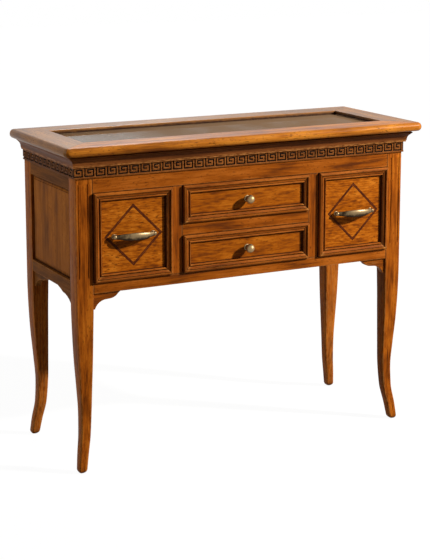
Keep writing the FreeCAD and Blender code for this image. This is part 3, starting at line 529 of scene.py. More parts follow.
def seat(mesh: bpy.types.Mesh, name: str, body: Body, slot: Slot, *replaced: str) -> None:
    """Put a finished mesh into the scene as a piece.

    Args:
        mesh: The mesh, with its place in its points.
        name: The piece's name.
        body: The body that it rides on.
        slot: The record's material slot; not used.
        replaced: CAD nodes that it stands for.
    """
    piece = link(name, mesh)
    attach(piece, body.value)
    if replaced:
        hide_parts(*replaced)
    LOG.info("%s: %d faces on %s", name, len(mesh.polygons), body.value)


class Skin:
    """The closed shells of one piece, with what each point carries to its material."""

    def __init__(self) -> None:
        """Start without shells."""
        self.points: list[Vector] = []
        self.faces: list[tuple[int, ...]] = []
        self.board: list[Triple] = []
        self.glaze: list[float] = []
        self.wear: list[float] = []
        self.fresh: list[tuple[Vector, float, float]] = []

    def put(self, point: Vector | Triple, glaze: float = 0.0, wear: float = 0.0) -> None:
        """Set down the next point of the shell at hand, with its glaze and painted shade, and its
        wear and painted highlight, 0 to 1.
        """
        self.fresh.append((Vector(point), glaze, wear))

    def close(self, grain: Grain, across: int, faces: Sequence[tuple[int, ...]] = ()) -> None:
        """Make a closed shell of the points set down, its doubles merged, its faces outwards.

        Args:
            grain: How the grain lies in it.
            across: How many points each of its rings has.
            faces: Its faces, as numbers of points, where it isn't made of rings.
        """
        shell = bmesh.new()
        layers = [shell.verts.layers.float.new(name) for name in ("glaze", "wear")]
        made = [shell.verts.new(point) for point, _, _ in self.fresh]
        for vert, (_, *values) in zip(made, self.fresh):
            for layer, value in zip(layers, values):
                vert[layer] = value
        for face in faces or self._ring_faces(len(made), across):
            shell.faces.new([made[number] for number in face])
        bmesh.ops.remove_doubles(shell, verts=shell.verts, dist=2e-6)
        bmesh.ops.dissolve_degenerate(shell, dist=1e-6, edges=shell.edges)
        bmesh.ops.recalc_face_normals(shell, faces=shell.faces)
        first = len(self.points)
        shell.verts.index_update()
        for vert in shell.verts:
            self.points.append(vert.co.copy())
            self.board.append(grain.place(vert.co))
            self.glaze.append(vert[layers[0]])
            self.wear.append(vert[layers[1]])
        for face in shell.faces:
            self.faces.append(tuple(first + vert.index for vert in face.verts))
        shell.free()
        self.fresh.clear()

    @staticmethod
    def _ring_faces(count: int, across: int) -> list[tuple[int, ...]]:
        """Faces between closed rings of points that follow each other, and one at either end.

        Args:
            count: How many points there are.
            across: How many points each ring has.

        Returns:
            The faces, as numbers of points.
        """
        faces: list[tuple[int, ...]] = []
        for low in range(0, count - across, across):
            for step in range(across):
                after = (step + 1) % across
                faces.append((low + step, low + after, low + across + after, low + across + step))
        return faces + [tuple(range(across)), tuple(range(count - across, count))]

    def mesh(self, name: str, finish: Finish, crease: float) -> bpy.types.Mesh:
        """Make the mesh.

        Args:
            name: Its name.
            finish: Its finish.
            crease: Edges sharper than this many degrees stay sharp.

        Returns:
            The mesh, with its "board" attribute, and attributes of glaze with painted shade and of
            wear with painted highlight.
        """
        made = bpy.data.meshes.new(name)
        made.from_pydata(self.points, [], self.faces)
        made.materials.append(finish.material())
        made.attributes.new("board", "FLOAT_VECTOR", "POINT").data.foreach_set(
            "vector", [part for place in self.board for part in place])
        for label, values in (("glaze", self.glaze), ("wear", self.wear)):
            made.attributes.new(label, "FLOAT", "POINT").data.foreach_set("value", values)
        made.shade_smooth()
        made.set_sharp_from_angle(angle=math.radians(crease))
        made.update()
        return made

    def seat(self, name: str, body: Body, slot: Slot, finish: Finish, *replaced: str,
             crease: float = 38.0) -> None:
        """Put the shells into the scene as one piece."""
        seat(self.mesh(name, finish, crease), name, body, slot, *replaced)


def held(value: float, low: float = 0.0, high: float = 1.0) -> float:
    """The value, kept between low and high."""
    return max(low, min(high, value))


def area(outline: Outline) -> float:
    """Twice the area inside the outline, above 0 where its corners go anticlockwise."""
    return sum(a[0] * b[1] - b[0] * a[1]
               for a, b in zip(outline, [*outline[1:], outline[0]]))


def anticlockwise(outline: Outline) -> Outline:
    """The outline with its corners in anticlockwise order."""
    return outline if area(outline) > 0 else outline[::-1]


def rectangle(low: Vector, high: Vector, u: int, v: int, amount: float) -> Outline:
    """The corners of the box's face along axes u and v, moved in by the amount."""
    return [(low[u] + amount, low[v] + amount), (high[u] - amount, low[v] + amount),
            (high[u] - amount, high[v] - amount), (low[u] + amount, high[v] - amount)]


def ways(outline: Outline, index: int) -> tuple[Vector, Vector]:
    """The directions in which an outline comes to a corner and leaves it.

    Args:
        outline: Its corners in turn.
        index: The corner's number.

    Returns:
        Both directions.
    """
    here = Vector(outline[index])
    return ((here - Vector(outline[index - 1])).normalized(),
            (Vector(outline[(index + 1) % len(outline)]) - here).normalized())


def clean(_: Vector) -> float:
    """No glaze anywhere."""
    return 0.0


def dark_all_over(_: Vector) -> float:
    """Full glaze and painted shade everywhere."""
    return 1.0


def on_front(x: float, z: float, level: float) -> Vector:
    """A point of an outline that faces the front, at a level along Y."""
    return Vector((x, level, z))


def on_side(y: float, z: float, level: float) -> Vector:
    """A point of an outline that faces the side, at a level along X."""
    return Vector((level, y, z))


def board(skin: Skin, low: Vector, high: Vector, grain: Grain, ease: float,
          glaze: Measure, wear: float = 0.7, margin: float = 0.0022) -> None:
    """Add a board with eased edges.

    Args:
        skin: What it is added to.
        low: Its lowest corner.
        high: Its highest corner.
        grain: How its grain lies.
        ease: Radius of its edges.
        glaze: How much glaze and painted shade there is at a point.
        wear: How worn its edges are.
        margin: How far the wear reaches in from an edge.
    """
    stops = []
    for a, b in zip(low, high):
        reach = min(margin, (b - a) / 2 - ease * 1.2)
        line = [a, a + ease, a + ease + reach, b - ease - reach, b - ease, b]
        stops.append(line if reach > ease * 0.3 else [a, a + ease, b - ease, b])
    core_low, core_high = low + Vector((ease,) * 3), high - Vector((ease,) * 3)
    faces: list[tuple[int, ...]] = []
    for axis in range(3):
        u, v = (axis + 1) % 3, (axis + 2) % 3
        rows, columns = len(stops[u]), len(stops[v])
        for level in (low[axis], high[axis]):
            first = len(skin.fresh)
            for a, b in product(stops[u], stops[v]):
                raw = Vector((0.0, 0.0, 0.0))
                raw[axis], raw[u], raw[v] = level, a, b
                core = Vector(held(*part) for part in zip(raw, core_low, core_high))
                away = raw - core
                point = core + away.normalized() * ease if away.length > 0 else raw
                turned = sum(abs(part) > ease * 0.5 for part in away)
                near = min(abs(a - stops[u][0]), abs(a - stops[u][-1]),
                           abs(b - stops[v][0]), abs(b - stops[v][-1]))
                wear_and_highlight_share = wear if turned > 1 else wear * 0.7 if near < ease * 1.5 else 0.0
                skin.put(point, glaze(point), wear_and_highlight_share)
            for i, j in product(range(rows - 1), range(columns - 1)):
                at = first + i * columns + j
                faces.append((at, at + columns, at + columns + 1, at + 1))
    skin.close(grain, 0, faces)


def near_ends(axis: int, low: Vector, high: Vector, reach: float) -> Measure:
    """Glaze that gathers at both ends of a board, where it meets its neighbours.

    Args:
        axis: The axis that the board runs along.
        low: Its lowest corner.
        high: Its highest corner.
        reach: How far the glaze reaches.

    Returns:
        The measure.
    """
    def measure(point: Vector) -> float:
        """Glaze at a point."""
        away = min(point[axis] - low[axis], high[axis] - point[axis])
        return 0.8 * max(0.0, 1.0 - away / reach)
    return measure


def arc_points(shares: Shares, steps: int = 5) -> list[tuple[float, float]]:
    """Points along an outline of straight lines and arcs.

    Args:
        shares: Corners in turn. Two numbers are a straight line's end, and four are an arc's
            end and a point halfway along it.
        steps: How many pieces an arc is made of.

    Returns:
        The points.
    """
    points: list[tuple[float, float]] = []
    for before, corner in zip((shares[-1], *shares), shares):
        if len(corner) == 2:
            points.append(corner)
            continue
        for step in range(1, steps + 1):
            # A parabola through the three points is near enough to the arc.
            t = step / steps
            points.append(tuple(
                (1 - t) * (1 - 2 * t) * a + 4 * t * (1 - t) * b + t * (2 * t - 1) * c
                for a, b, c in zip(before, corner[2:], corner)))
    return points


def edge_distance(point: Vector, start: Vector, end: Vector) -> float:
    """How far a point is from a straight edge.

    Args:
        point: The point.
        start: Where the edge starts.
        end: Where it ends.

    Returns:
        The distance.
    """
    along = end - start
    share = held((point - start).dot(along) / max(along.length_squared, 1e-12))
    return (point - start - along * share).length


def inset_outline(outline: Outline, amount: float) -> Outline:
    """An outline moved inwards by the same amount all round.

    Args:
        outline: Its corners in turn, anticlockwise.
        amount: How far it moves, less where there is no room.

    Returns:
        The moved corners.
    """
    moved = []
    count = len(outline)
    for index, corner in enumerate(outline):
        here = Vector(corner)
        room = min(edge_distance(here, Vector(outline[other]), Vector(outline[(other + 1) % count]))
                   for other in range(count) if other not in (index, (index - 1) % count))
        before, after = ways(outline, index)
        half = Vector((-before.y, before.x)) + Vector((-after.y, after.x))
        scale = min(amount, room * 0.3) / max(0.35, half.length_squared / 2)
        moved.append(tuple(here + half * scale))
    return moved


# An eased edge: how far in and how far along each row lies, in radii, and its wear.
EASED_EDGE = ((3.2, 0.0, 0.0), (1.0, 0.0, 0.9), (0.3, 0.3, 1.0), (0.0, 1.0, 0.8))


def plate(skin: Skin, outline: Outline, place: Callable[[float, float, float], Vector],
          levels: tuple[float, float], ease: float, grain: Grain, glaze: Measure = clean,
          wear: float = 0.7) -> None:
    """Add a plate with an outline of its own and eased edges.

    Args:
        skin: What it is added to.
        outline: Its corners in turn.
        place: Where a point of the outline lies at a level.
        levels: The levels of its two faces, rising.
        ease: Radius of its edges.
        grain: How its grain lies.
        glaze: How much glaze and painted shade there is at a point.
        wear: How worn its edges are.
    """
    outline = anticlockwise(outline)
    low, high = levels
    rows = [(inset, low + ease * along, worn) for inset, along, worn in EASED_EDGE]
    rows += [(inset, high - ease * along, worn) for inset, along, worn in EASED_EDGE[::-1]]
    for inset, level, worn in rows:
        for x, y in inset_outline(outline, ease * inset):
            point = place(x, y, level)
            skin.put(point, glaze(point), worn * wear)
    skin.close(grain, len(outline))


def lathe(skin: Skin, rings: Sequence[Triple], frame: Matrix, around: int) -> None:
    """Add a turned form.

    Args:
        skin: What it is added to.
        rings: Radius, height and glaze of each ring, from one end to the other.
        frame: Where its own axis and foot lie. It is turned about its own Z.
        around: How many sides it has.
    """
    for radius, height, dark in rings:
        for step in range(around):
            turn = math.tau * step / around
            skin.put(frame @ Vector((radius * math.cos(turn), radius * math.sin(turn), height)),
                     dark)
    skin.close(Grain(), around)


def smooth_line(places: Sequence[float], values: Sequence[float], at: float) -> float:
    """A smooth line through values that doesn't overshoot between them.

    Args:
        places: Where the values are, rising.
        values: The values.
        at: The place that is wanted.

    Returns:
        The value there.
    """
    count = len(places)
    slopes = [(values[i + 1] - values[i]) / (places[i + 1] - places[i]) for i in range(count - 1)]
    tangents = [slopes[0]]
    for before, after in zip(slopes, slopes[1:]):
        tangents.append(0.0 if before * after <= 0 else 2 / (1 / before + 1 / after))
    tangents.append(slopes[-1])
    index = max(0, min(count - 2, sum(place <= at for place in places) - 1))
    width = places[index + 1] - places[index]
    t = held((at - places[index]) / width)
    h00, h10 = 2 * t ** 3 - 3 * t ** 2 + 1, t ** 3 - 2 * t ** 2 + t
    h01, h11 = -2 * t ** 3 + 3 * t ** 2, t ** 3 - t ** 2
    return (h00 * values[index] + h10 * width * tangents[index]
            + h01 * values[index + 1] + h11 * width * tangents[index + 1])


@dataclass
class Legs:
    """The four legs, each one piece with its corner post."""

    width: float = 0.045
    ease: float = 0.0010
    leg_round: float = 0.0045
    ankle_inset: float = 0.012
    foot_ease: float = 0.0105
    foot_glaze: float = 0.03
    top_glaze: float = 0.06
    knee: float = 0.454
    groove_width: float = 0.0024
    groove_depth: float = 0.0013
    groove_outer: float = 0.006
    groove_inner: float = 0.012
    groove_low: float = 0.511
    groove_high: float = 0.7525
    groove_end: float = 0.003
    shares: tuple[Triple, ...] = (
        (1.00, 0.00, 1.00), (0.96, 0.00, 0.995), (0.84, 0.06, 0.955), (0.67, 0.28, 0.875),
        (0.49, 0.72, 0.735), (0.35, 1.00, 0.635), (0.22, 0.84, 0.59), (0.10, 0.17, 0.55),
        (0.00, -0.25, 0.50))

    def build(self) -> None:
        """Make and seat the four legs."""
        for seed, (end, side) in enumerate(product(("front", "back"), Side), start=11):
            self._leg(f"leg_{end}_{side.name.lower()}", side, end == "front", seed)

    def _leg(self, node: str, side: Side, front: bool, seed: int) -> None:
        """Loft one leg from its foot to the top of its post.

        Args:
            node: The CAD node that it stands for.
            side: Left or right.
            front: Whether it is a front leg, whose post has grooves.
            seed: The seed of its grain.
        """
        skin = Skin()
        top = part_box(node)[1].z
        corner = Vector((side.value * POST_HALF, POST_FRONT if front else POST_BACK))
        for level in self._levels(top):
            inset, width, radius = self._section(level)
            below = max(0.0, self.foot_ease - level)
            less = self.foot_ease - math.sqrt(self.foot_ease ** 2 - below ** 2)
            radius = min(radius, (width - 2 * less) * 0.49)
            low = max(0.0, 1 - level / self.foot_glaze) * 0.5
            joint = 0.5 if level > top - self.top_glaze else 0.0
            ring = self._ring(inset + less, inset + width - less, radius,
                              self._groove(level) if front else 0.0)
            for x, y, dark, rub in ring:
                skin.put((corner.x - side.value * x, corner.y + (y if front else -y), level),
                         max(dark, low, joint), rub)
        skin.close(Grain(Axis.Z, seed), len(ring))
        skin.seat(f"{node}_shaped", Body.CARCASS, Slot.FRAME, Finish.POST, node)

    def _levels(self, top: float) -> list[float]:
        """The levels of the sections, closer together where the form turns.

        Args:
            top: The level of the post's top.

        Returns:
            The levels, rising.
        """
        curve = [self.knee * step / 44 for step in range(45)]
        foot = [self.foot_ease * (1 - math.sin(math.pi * step / 12)) for step in range(7)]
        runs = (0.0008, 0.002, 0.004)
        grooves = [self.groove_low - 0.0001, self.groove_high - 0.0001]
        grooves += [self.groove_low + run for run in runs]
        grooves += [self.groove_high - run for run in runs]
        post = [self.knee + 0.004, 0.4975, 0.60, 0.7665, 0.77, top - 0.0008, top]
        marks = foot + [level for level in curve if level > self.foot_ease] + grooves + post
        return sorted({round(level, 5) for level in marks})

    def _section(self, level: float) -> Triple:
        """The leg's section at a level, on a smooth line through the shares.

        Args:
            level: The level.

        Returns:
            Its inset, its width and the radius of its edges.
        """
        share = min(1.0, level / self.knee)
        heights, insets, widths = zip(*self.shares[::-1])
        inset = smooth_line(heights, insets, share) * self.ankle_inset
        width = smooth_line(heights, widths, share) * self.width
        radius = self.ease + (self.leg_round - self.ease) * (1 - share)
        return inset, min(width, self.width - inset), radius

    def _groove(self, level: float) -> float:
        """Depth of the grooves at a level, running out at both ends."""
        inside = min(level - self.groove_low, self.groove_high - level)
        return self.groove_depth * held(inside / self.groove_end) ** 0.5

    def _ring(self, low: float, high: float, radius: float, groove: float) -> Section:
        """One section, with the grooved face at low y.

        Args:
            low: The nearer edge along both axes.
            high: The farther edge along both axes.
            radius: Rounding of its edges.
            groove: Depth of the grooves.

        Returns:
            x, y, glaze and wear of each point in turn.
        """
        stretch = (high - low) / self.width
        wide = self.groove_width * stretch
        deep = 1.0 if groove > 0.0003 else 0.0
        ring: Section = []
        for start in (low + self.groove_outer * stretch,
                      high - (self.groove_inner + self.groove_width) * stretch):
            for share, depth, dark in ((0.0, 0.0, 0.1), (0.12, 0.8, 0.45), (0.5, 1.0, 0.45),
                                       (0.88, 0.8, 0.45), (1.0, 0.0, 0.1)):
                ring.append((start + wide * share, low + groove * depth, dark * deep, 0.0))
        ring.append((high - radius - 0.004 * stretch, low, 0.0, 0.0))
        near, far = low + radius, high - radius
        for x, y, first in ((far, near, -90), (far, far, 0), (near, far, 90), (near, near, 180)):
            for step in range(5):
                turn = math.radians(first + 22.5 * step)
                ring.append((x + radius * math.cos(turn), y + radius * math.sin(turn), 0.0,
                             0.75 if 0 < step < 4 else 0.3))
        return ring


@dataclass
class Frame:
    """Rails, stiles, side panels and brackets of the carcass."""

    ease: float = 0.0007
    end_glaze: float = 0.0035
    stile_width: float = 0.028
    stile_glaze: float = 0.004
    panel_border: float = 0.012
    panel_rise: float = 0.0035
    bracket_length: float = 0.078
    side_bracket_length: float = 0.130
    bracket_drop: float = 0.042
    bracket_thick: float = 0.016
    bracket_ease: float = 0.0010
    bracket_glaze: float = 0.0015
    rails: tuple[str, ...] = ("front_top_rail", "front_bottom_rail", "drawer_divider_rail",
                              "back_bottom_rail", "side_top_rail_left", "side_bottom_rail_left",
                              "side_top_rail_right", "side_bottom_rail_right")
    bracket_shares: Shares = (
        (0.00, 0.00), (0.00, 1.00), (0.07, 1.00), (0.40, 0.46, 0.19, 0.65), (0.65, 0.42),
        (0.84, 0.25, 0.76, 0.35), (1.00, 0.00, 0.92, 0.10))
    side_bracket_shares: Shares = (
        (0.00, 0.00), (0.00, 1.00), (0.05, 1.00), (0.36, 0.38, 0.15, 0.64), (0.50, 0.345),
        (1.00, 0.00, 0.73, 0.12))

    def build(self) -> None:
        """Make and seat every piece of the frame."""
        self._rails()
        self._stiles()
        for side in Side:
            self._side_panel(side)
        self._front_brackets()
        self._side_brackets()

    def _rails(self) -> None:
        """The rails, each in its CAD node's place."""
        for seed, node in enumerate(self.rails, start=30):
            low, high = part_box(node)
            axis = Axis.Y if node.startswith("side") else Axis.X
            finish = Finish.SIDE if node.startswith(("side", "back")) else Finish.RAIL
            skin = Skin()
            board(skin, low, high, Grain(axis, seed), self.ease,
                  near_ends(axis.value[0], low, high, self.end_glaze))
            skin.seat(f"{node}_eased", Body.CARCASS, Slot.FRAME, finish, node)

    def _stiles(self) -> None:
        """The two stiles beside the middle drawers."""
        low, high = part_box("front_stiles")
        skin = Skin()
        for side in Side:
            left, right = ((high.x - self.stile_width, high.x) if side is Side.RIGHT
                           else (low.x, low.x + self.stile_width))
            board(skin, Vector((left, low.y, low.z)), Vector((right, high.y, high.z)),
                  Grain(Axis.Z, 50 + side.value), self.ease,
                  near_ends(2, low, high, self.stile_glaze))
        skin.seat("front_stiles_eased", Body.CARCASS, Slot.FRAME, Finish.STILE, "front_stiles")

    def _side_panel(self, side: Side) -> None:
        """A fielded panel, with slopes round a raised field.

        Args:
            side: Left or right.
        """
        node = f"side_panel_{side.name.lower()}"
        low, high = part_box(node)
        back, face = (high.x, low.x) if side is Side.LEFT else (low.x, high.x)
        border, rise = self.panel_border, self.panel_rise
        rings = [(0.0, back, 0.0)]
        # The dark values are painted shade: a thin dark line round the panel's edge and another at
        # the quirk inside the field's edge.
        for amount, up, dark in (
                (0.0, 0.0, 1.0), (0.0006, 0.0, 0.9), (border - 0.0016, rise - 0.0013, 0.25),
                (border - 0.0006, rise - 0.0010, 0.85), (border, rise, 0.0),
                (border + 0.004, rise, 0.0)):
            rings.append((amount, face - side.value * (rise - up), dark))
        skin = Skin()
        for amount, x, dark in rings:
            for y, z in rectangle(low, high, 1, 2, amount):
                skin.put((x, y, z), dark)
        skin.close(Grain(Axis.Z, 60 + side.value), 4)
        skin.seat(f"{node}_fielded", Body.CARCASS, Slot.PANEL, Finish.SIDE_PANEL, node, crease=20.0)

    def _bracket(self, shares: Shares, start: float, length: float, top: float) -> Outline:
        """A bracket's outline from its shares: a negative length runs the other way."""
        return [(start + along * length, top - down * self.bracket_drop)
                for along, down in arc_points(shares)]

    def _front_brackets(self) -> None:
        """Ogee brackets under the front rail."""
        low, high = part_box("front_brackets")

        def joint(point: Vector) -> float:
            """Glaze under the rail."""
            return 0.7 if point.z > high.z - self.bracket_glaze else 0.0
        skin = Skin()
        for side in Side:
            start = high.x if side is Side.RIGHT else low.x
            plate(skin, self._bracket(self.bracket_shares, start,
                                      -side.value * self.bracket_length, high.z),
                  on_front, (low.y, high.y), self.bracket_ease, Grain(Axis.X, 70 + side.value),
                  joint)
        skin.seat("front_brackets_shaped", Body.CARCASS, Slot.FRAME, Finish.RAIL, "front_brackets")

    def _side_brackets(self) -> None:
        """Ogee brackets under the side rails."""
        low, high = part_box("side_brackets")
        skin = Skin()
        for side in Side:
            outer = high.x if side is Side.RIGHT else low.x + self.bracket_thick
            for start, way in ((low.y, 1), (high.y, -1)):
                plate(skin, self._bracket(self.side_bracket_shares, start,
                                          way * self.side_bracket_length, high.z),
                      on_side, (outer - self.bracket_thick, outer), self.bracket_ease,
                      Grain(Axis.Y, 75 + way + side.value))
        skin.seat("side_brackets_shaped", Body.CARCASS, Slot.FRAME, Finish.SIDE, "side_brackets")


@dataclass
class Profile:
    """A moulding's section, with glaze and painted shade in its hollows, and wear and painted
    highlight on its edges.
    """

    shares: Shares
    width: float
    rise: float
    steps: int = 5
    line: float = 0.0022

    def points(self) -> Section:
        """The section's points, with a clean one on either side of those that are far apart.

        Returns:
            Distance in, distance out, glaze with painted shade, and wear with painted highlight of
            each point.
        """
        flat = [(a * self.width, b * self.rise) for a, b in arc_points(self.shares, self.steps)]
        way = 1.0 if area(flat) > 0 else -1.0
        rows: Section = []
        for index, corner in enumerate(flat):
            before, after = ways(flat, index)
            turn = way * (before.x * after.y - before.y * after.x)
            # Hollows get glaze and painted shade, and edges get wear and painted highlight.
            rows.append((*corner, held(-turn * 1.6), held(turn * 0.35)))
        result: Section = []
        for row, after in zip(rows, rows[1:] + rows[:1]):
            result.append(row)
            run, rise = after[0] - row[0], after[1] - row[1]
            length = math.hypot(run, rise)
            if length >= self.line * 2.2:
                share = self.line / length
                result += [(row[0] + run * place, row[1] + rise * place, 0.0, 0.0)
                           for place in (share, 1 - share)]
        return result


@dataclass
class Cornice:
    """Bead, cove and fillet under the lid, mitred at the front corners."""

    shares: Shares = (
        (0.00, 0.00), (0.40, 0.00), (0.40, 0.13), (0.46, 0.13), (0.83, 0.70, 0.55, 0.47),
        (0.83, 0.76), (0.90, 0.76), (0.90, 0.92, 1.00, 0.84), (0.84, 0.92), (0.84, 1.00),
        (0.00, 1.00))
    reach: float = 0.021
    fillet: float = 0.15
    fillet_highlight: float = 0.7

    def build(self) -> None:
        """Make and seat the three lengths."""
        low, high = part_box("cornice_front")
        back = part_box("cornice_left")[1].y
        tall = high.z - low.z
        section = Profile(self.shares, self.reach, tall, 8).points()
        # Each length's two ends: the sign of X, and whether it is cut square at the back.
        runs = {"front": ((-1, False), (1, False)), "left": ((-1, False), (-1, True)),
                "right": ((1, False), (1, True))}
        for seed, (name, ends) in enumerate(runs.items(), start=80):
            skin = Skin()
            for way, square in ends:
                for out, up, dark, rub in section:
                    # Painted highlight: the fillet at the foot gets no glaze, and the wear colour
                    # all over as a light band.
                    fillet = out > 0.0 and up < self.fillet * tall
                    skin.put((way * (POST_HALF + out), back if square else high.y - out,
                              low.z + up),
                             0.0 if fillet else dark, self.fillet_highlight if fillet else rub)
            skin.close(Grain(Axis.X if name == "front" else Axis.Y, seed), len(section))
            skin.seat(f"cornice_{name}_run", Body.CARCASS, Slot.FRAME, Finish.CORNICE,
                      f"cornice_{name}", crease=30.0)


class Tree(Nodes):
    """A Geometry Nodes tree with named inputs."""

    def __init__(self, name: str, sizes: dict[str, str]) -> None:
        """Start a tree.

        Args:
            name: Its name.
            sizes: Name and socket type of each input besides the geometry.
        """
        super().__init__(bpy.data.node_groups.new(name, "GeometryNodeTree"))
        geometry = {"Geometry": "NodeSocketGeometry"}
        for way, sockets in (("INPUT", geometry | sizes), ("OUTPUT", geometry)):
            for label, kind in sockets.items():
                self.tree.interface.new_socket(label, in_out=way, socket_type=kind)
        self.given = self.make("NodeGroupInput")

    def size(self, name: str) -> Wire:
        """One of the tree's inputs."""
        return Wire(self, self.given.outputs[name])

    def together(self, **parts: "Wire | float") -> Wire:
        """A vector of the parts X, Y and Z, 0 where one is left out."""
        return self.node("ShaderNodeCombineXYZ", inputs=parts)

    def end(self, geometry: Wire, material: bpy.types.Material) -> None:
        """Realize the instances, set the material and end the tree.

        Args:
            geometry: The instances.
            material: The material.
        """
        real = self.node("GeometryNodeRealizeInstances", inputs={0: geometry})
        dressed = self.node("GeometryNodeSetMaterial", inputs={0: real, "Material": material})
        self.make("NodeGroupOutput", inputs={0: dressed})

    def run(self, values: dict[str, Any]) -> bpy.types.Mesh:
        """Run the tree with these inputs.

        Args:
            values: The inputs by name.

        Returns:
            The result as a plain mesh.
        """
        holder = link(f"{self.tree.name}_holder", bpy.data.meshes.new("holder"))
        modifier = holder.modifiers.new("rows", "NODES")
        modifier.node_group = self.tree
        for item in self.tree.interface.items_tree:
            if item.in_out == "INPUT" and item.name in values:
                modifier[item.identifier] = values[item.name]
        graph = bpy.context.evaluated_depsgraph_get()
        graph.update()
        mesh = bpy.data.meshes.new_from_object(holder.evaluated_get(graph), depsgraph=graph)
        holder.modifiers.clear()
        bpy.data.objects.remove(holder)
        return mesh


@dataclass
class Frieze:
    """The strip of raised Greek keys on the front and the sides."""

    pitch: float = 0.030
    relief: float = 0.0018
    ease: float = 0.00038
    sunk: float = 0.00012
    shake: float = 0.00012
    ground_ease: float = 0.0004
    lip_ease: float = 0.0005
    lip_wear: float = 0.6
    lip_margin: float = 0.0006
    columns: int = 8
    rows: int = 7
    outline: tuple[tuple[int, int], ...] = (
        (7, 1), (7, 7), (0, 7), (0, 2), (5, 2), (5, 5), (2, 5), (2, 4),
        (4, 4), (4, 3), (1, 3), (1, 6), (6, 6), (6, 1))

    def build(self) -> None:
        """Make and seat the three strips."""
        for seed, name in enumerate(("front", "left", "right"), start=90):
            node = f"frieze_{name}"
            low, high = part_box(node)
            along = 0 if name == "front" else 1
            floor_low, floor_high, lip_high = low.copy(), high.copy(), high.copy()
            if name == "right":
                floor_high[1 - along] -= self.relief
            else:
                floor_low[1 - along] += self.relief
            lip_high.z = low.z + (high.z - low.z) / self.rows
            grain = Grain(Axis.Y if along else Axis.X, seed)
            finish = Finish.SIDE_FRIEZE if along else Finish.FRIEZE
            ground = Skin()
            # Painted shade: the sunk ground is darkened all over to near black.
            board(ground, floor_low, floor_high, grain, self.ground_ease, dark_all_over, 0.0)
            board(ground, low, lip_high, grain, self.lip_ease, clean, self.lip_wear,
                  self.lip_margin)
            ground.seat(f"{node}_ground", Body.CARCASS, Slot.FRIEZE, finish, node)
            keys = self._keys(high[along] - low[along], high.z - low.z, finish)
            turn = {"front": 0, "left": -90, "right": 90}[name]
            start = (high.x if name == "right" else low.x, high.y if name == "left" else low.y,
                     low.z)
            keys.transform(Matrix.Translation(start) @ Matrix.Rotation(math.radians(turn), 4, "Z"))
            for vert, entry in zip(keys.vertices, keys.attributes["board"].data):
                entry.vector = grain.place(vert.co)
            seat(keys, f"{node}_keys", Body.CARCASS, Slot.FRIEZE)

    def _keys(self, length: float, height: float, finish: Finish) -> bpy.types.Mesh:
        """A row of keys, each a little out of its place.

        Args:
            length: How long the strip is.
            height: How high it is.
            finish: Its finish.

        Returns:
            The keys as one mesh, along X from the origin.
        """
        count = round(length / self.pitch)
        pitch = length / count
        key = self._one_key(pitch / self.columns, height / self.rows)
        tree = Tree("greek_key_row", {"Key": "NodeSocketObject", "Count": "NodeSocketInt",
                                      "Pitch": "NodeSocketFloat", "Wear": "NodeSocketFloat"})
        line = tree.node("GeometryNodeMeshLine", {"mode": "OFFSET"}, {
            "Count": tree.size("Count"), "Offset": tree.together(X=tree.size("Pitch"))})
        most = tree.size("Wear")
        least = most * -1.0
        shake = tree.node("FunctionNodeRandomValue", {"data_type": "FLOAT_VECTOR"}, {
            0: tree.together(X=least, Y=least, Z=least), 1: tree.together(X=most, Z=most),
            "Seed": 7})
        placed = tree.node("GeometryNodeInstanceOnPoints", inputs={
            "Points": line, "Instance": tree.node(
                "GeometryNodeObjectInfo", inputs={"Object": tree.size("Key")}, output="Geometry")})
        tree.end(tree.node("GeometryNodeTranslateInstances", inputs={
            "Instances": placed, "Translation": shake}), finish.material())
        mesh = tree.run({"Key": key, "Count": count, "Pitch": pitch, "Wear": self.shake})
        bpy.data.objects.remove(key)
        return mesh

    def _one_key(self, column: float, row: float) -> bpy.types.Object:
        """One raised key with rounded arrises, its face towards -Y, its corner at the origin.

        Args:
            column: How wide a column of the key's grid is.
            row: How high a row of it is.

        Returns:
            The key.
        """
        skin = Skin()
        plate(skin, [(x * column, y * row) for x, y in self.outline], on_front,
              (self.sunk, self.relief), self.ease, Grain(), wear=0.8)
        skin.wear = [0.0 if point.y > self.relief * 0.7 else rub
                     for point, rub in zip(skin.points, skin.wear)]
        # Painted shade: each key darkens towards the sunk ground.
        skin.glaze = [held((point.y - 0.0006) / 0.0008) for point in skin.points]
        return link("one_key", skin.mesh("one_key", Finish.FRIEZE, 50.0))


def face_middle(body: Body) -> Vector:
    """The middle of a drawer front's face.

    Args:
        body: The drawer.

    Returns:
        The point.
    """
    low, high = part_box(f"{body.value}_front")
    middle = (low + high) / 2
    middle.y = low.y
    return middle


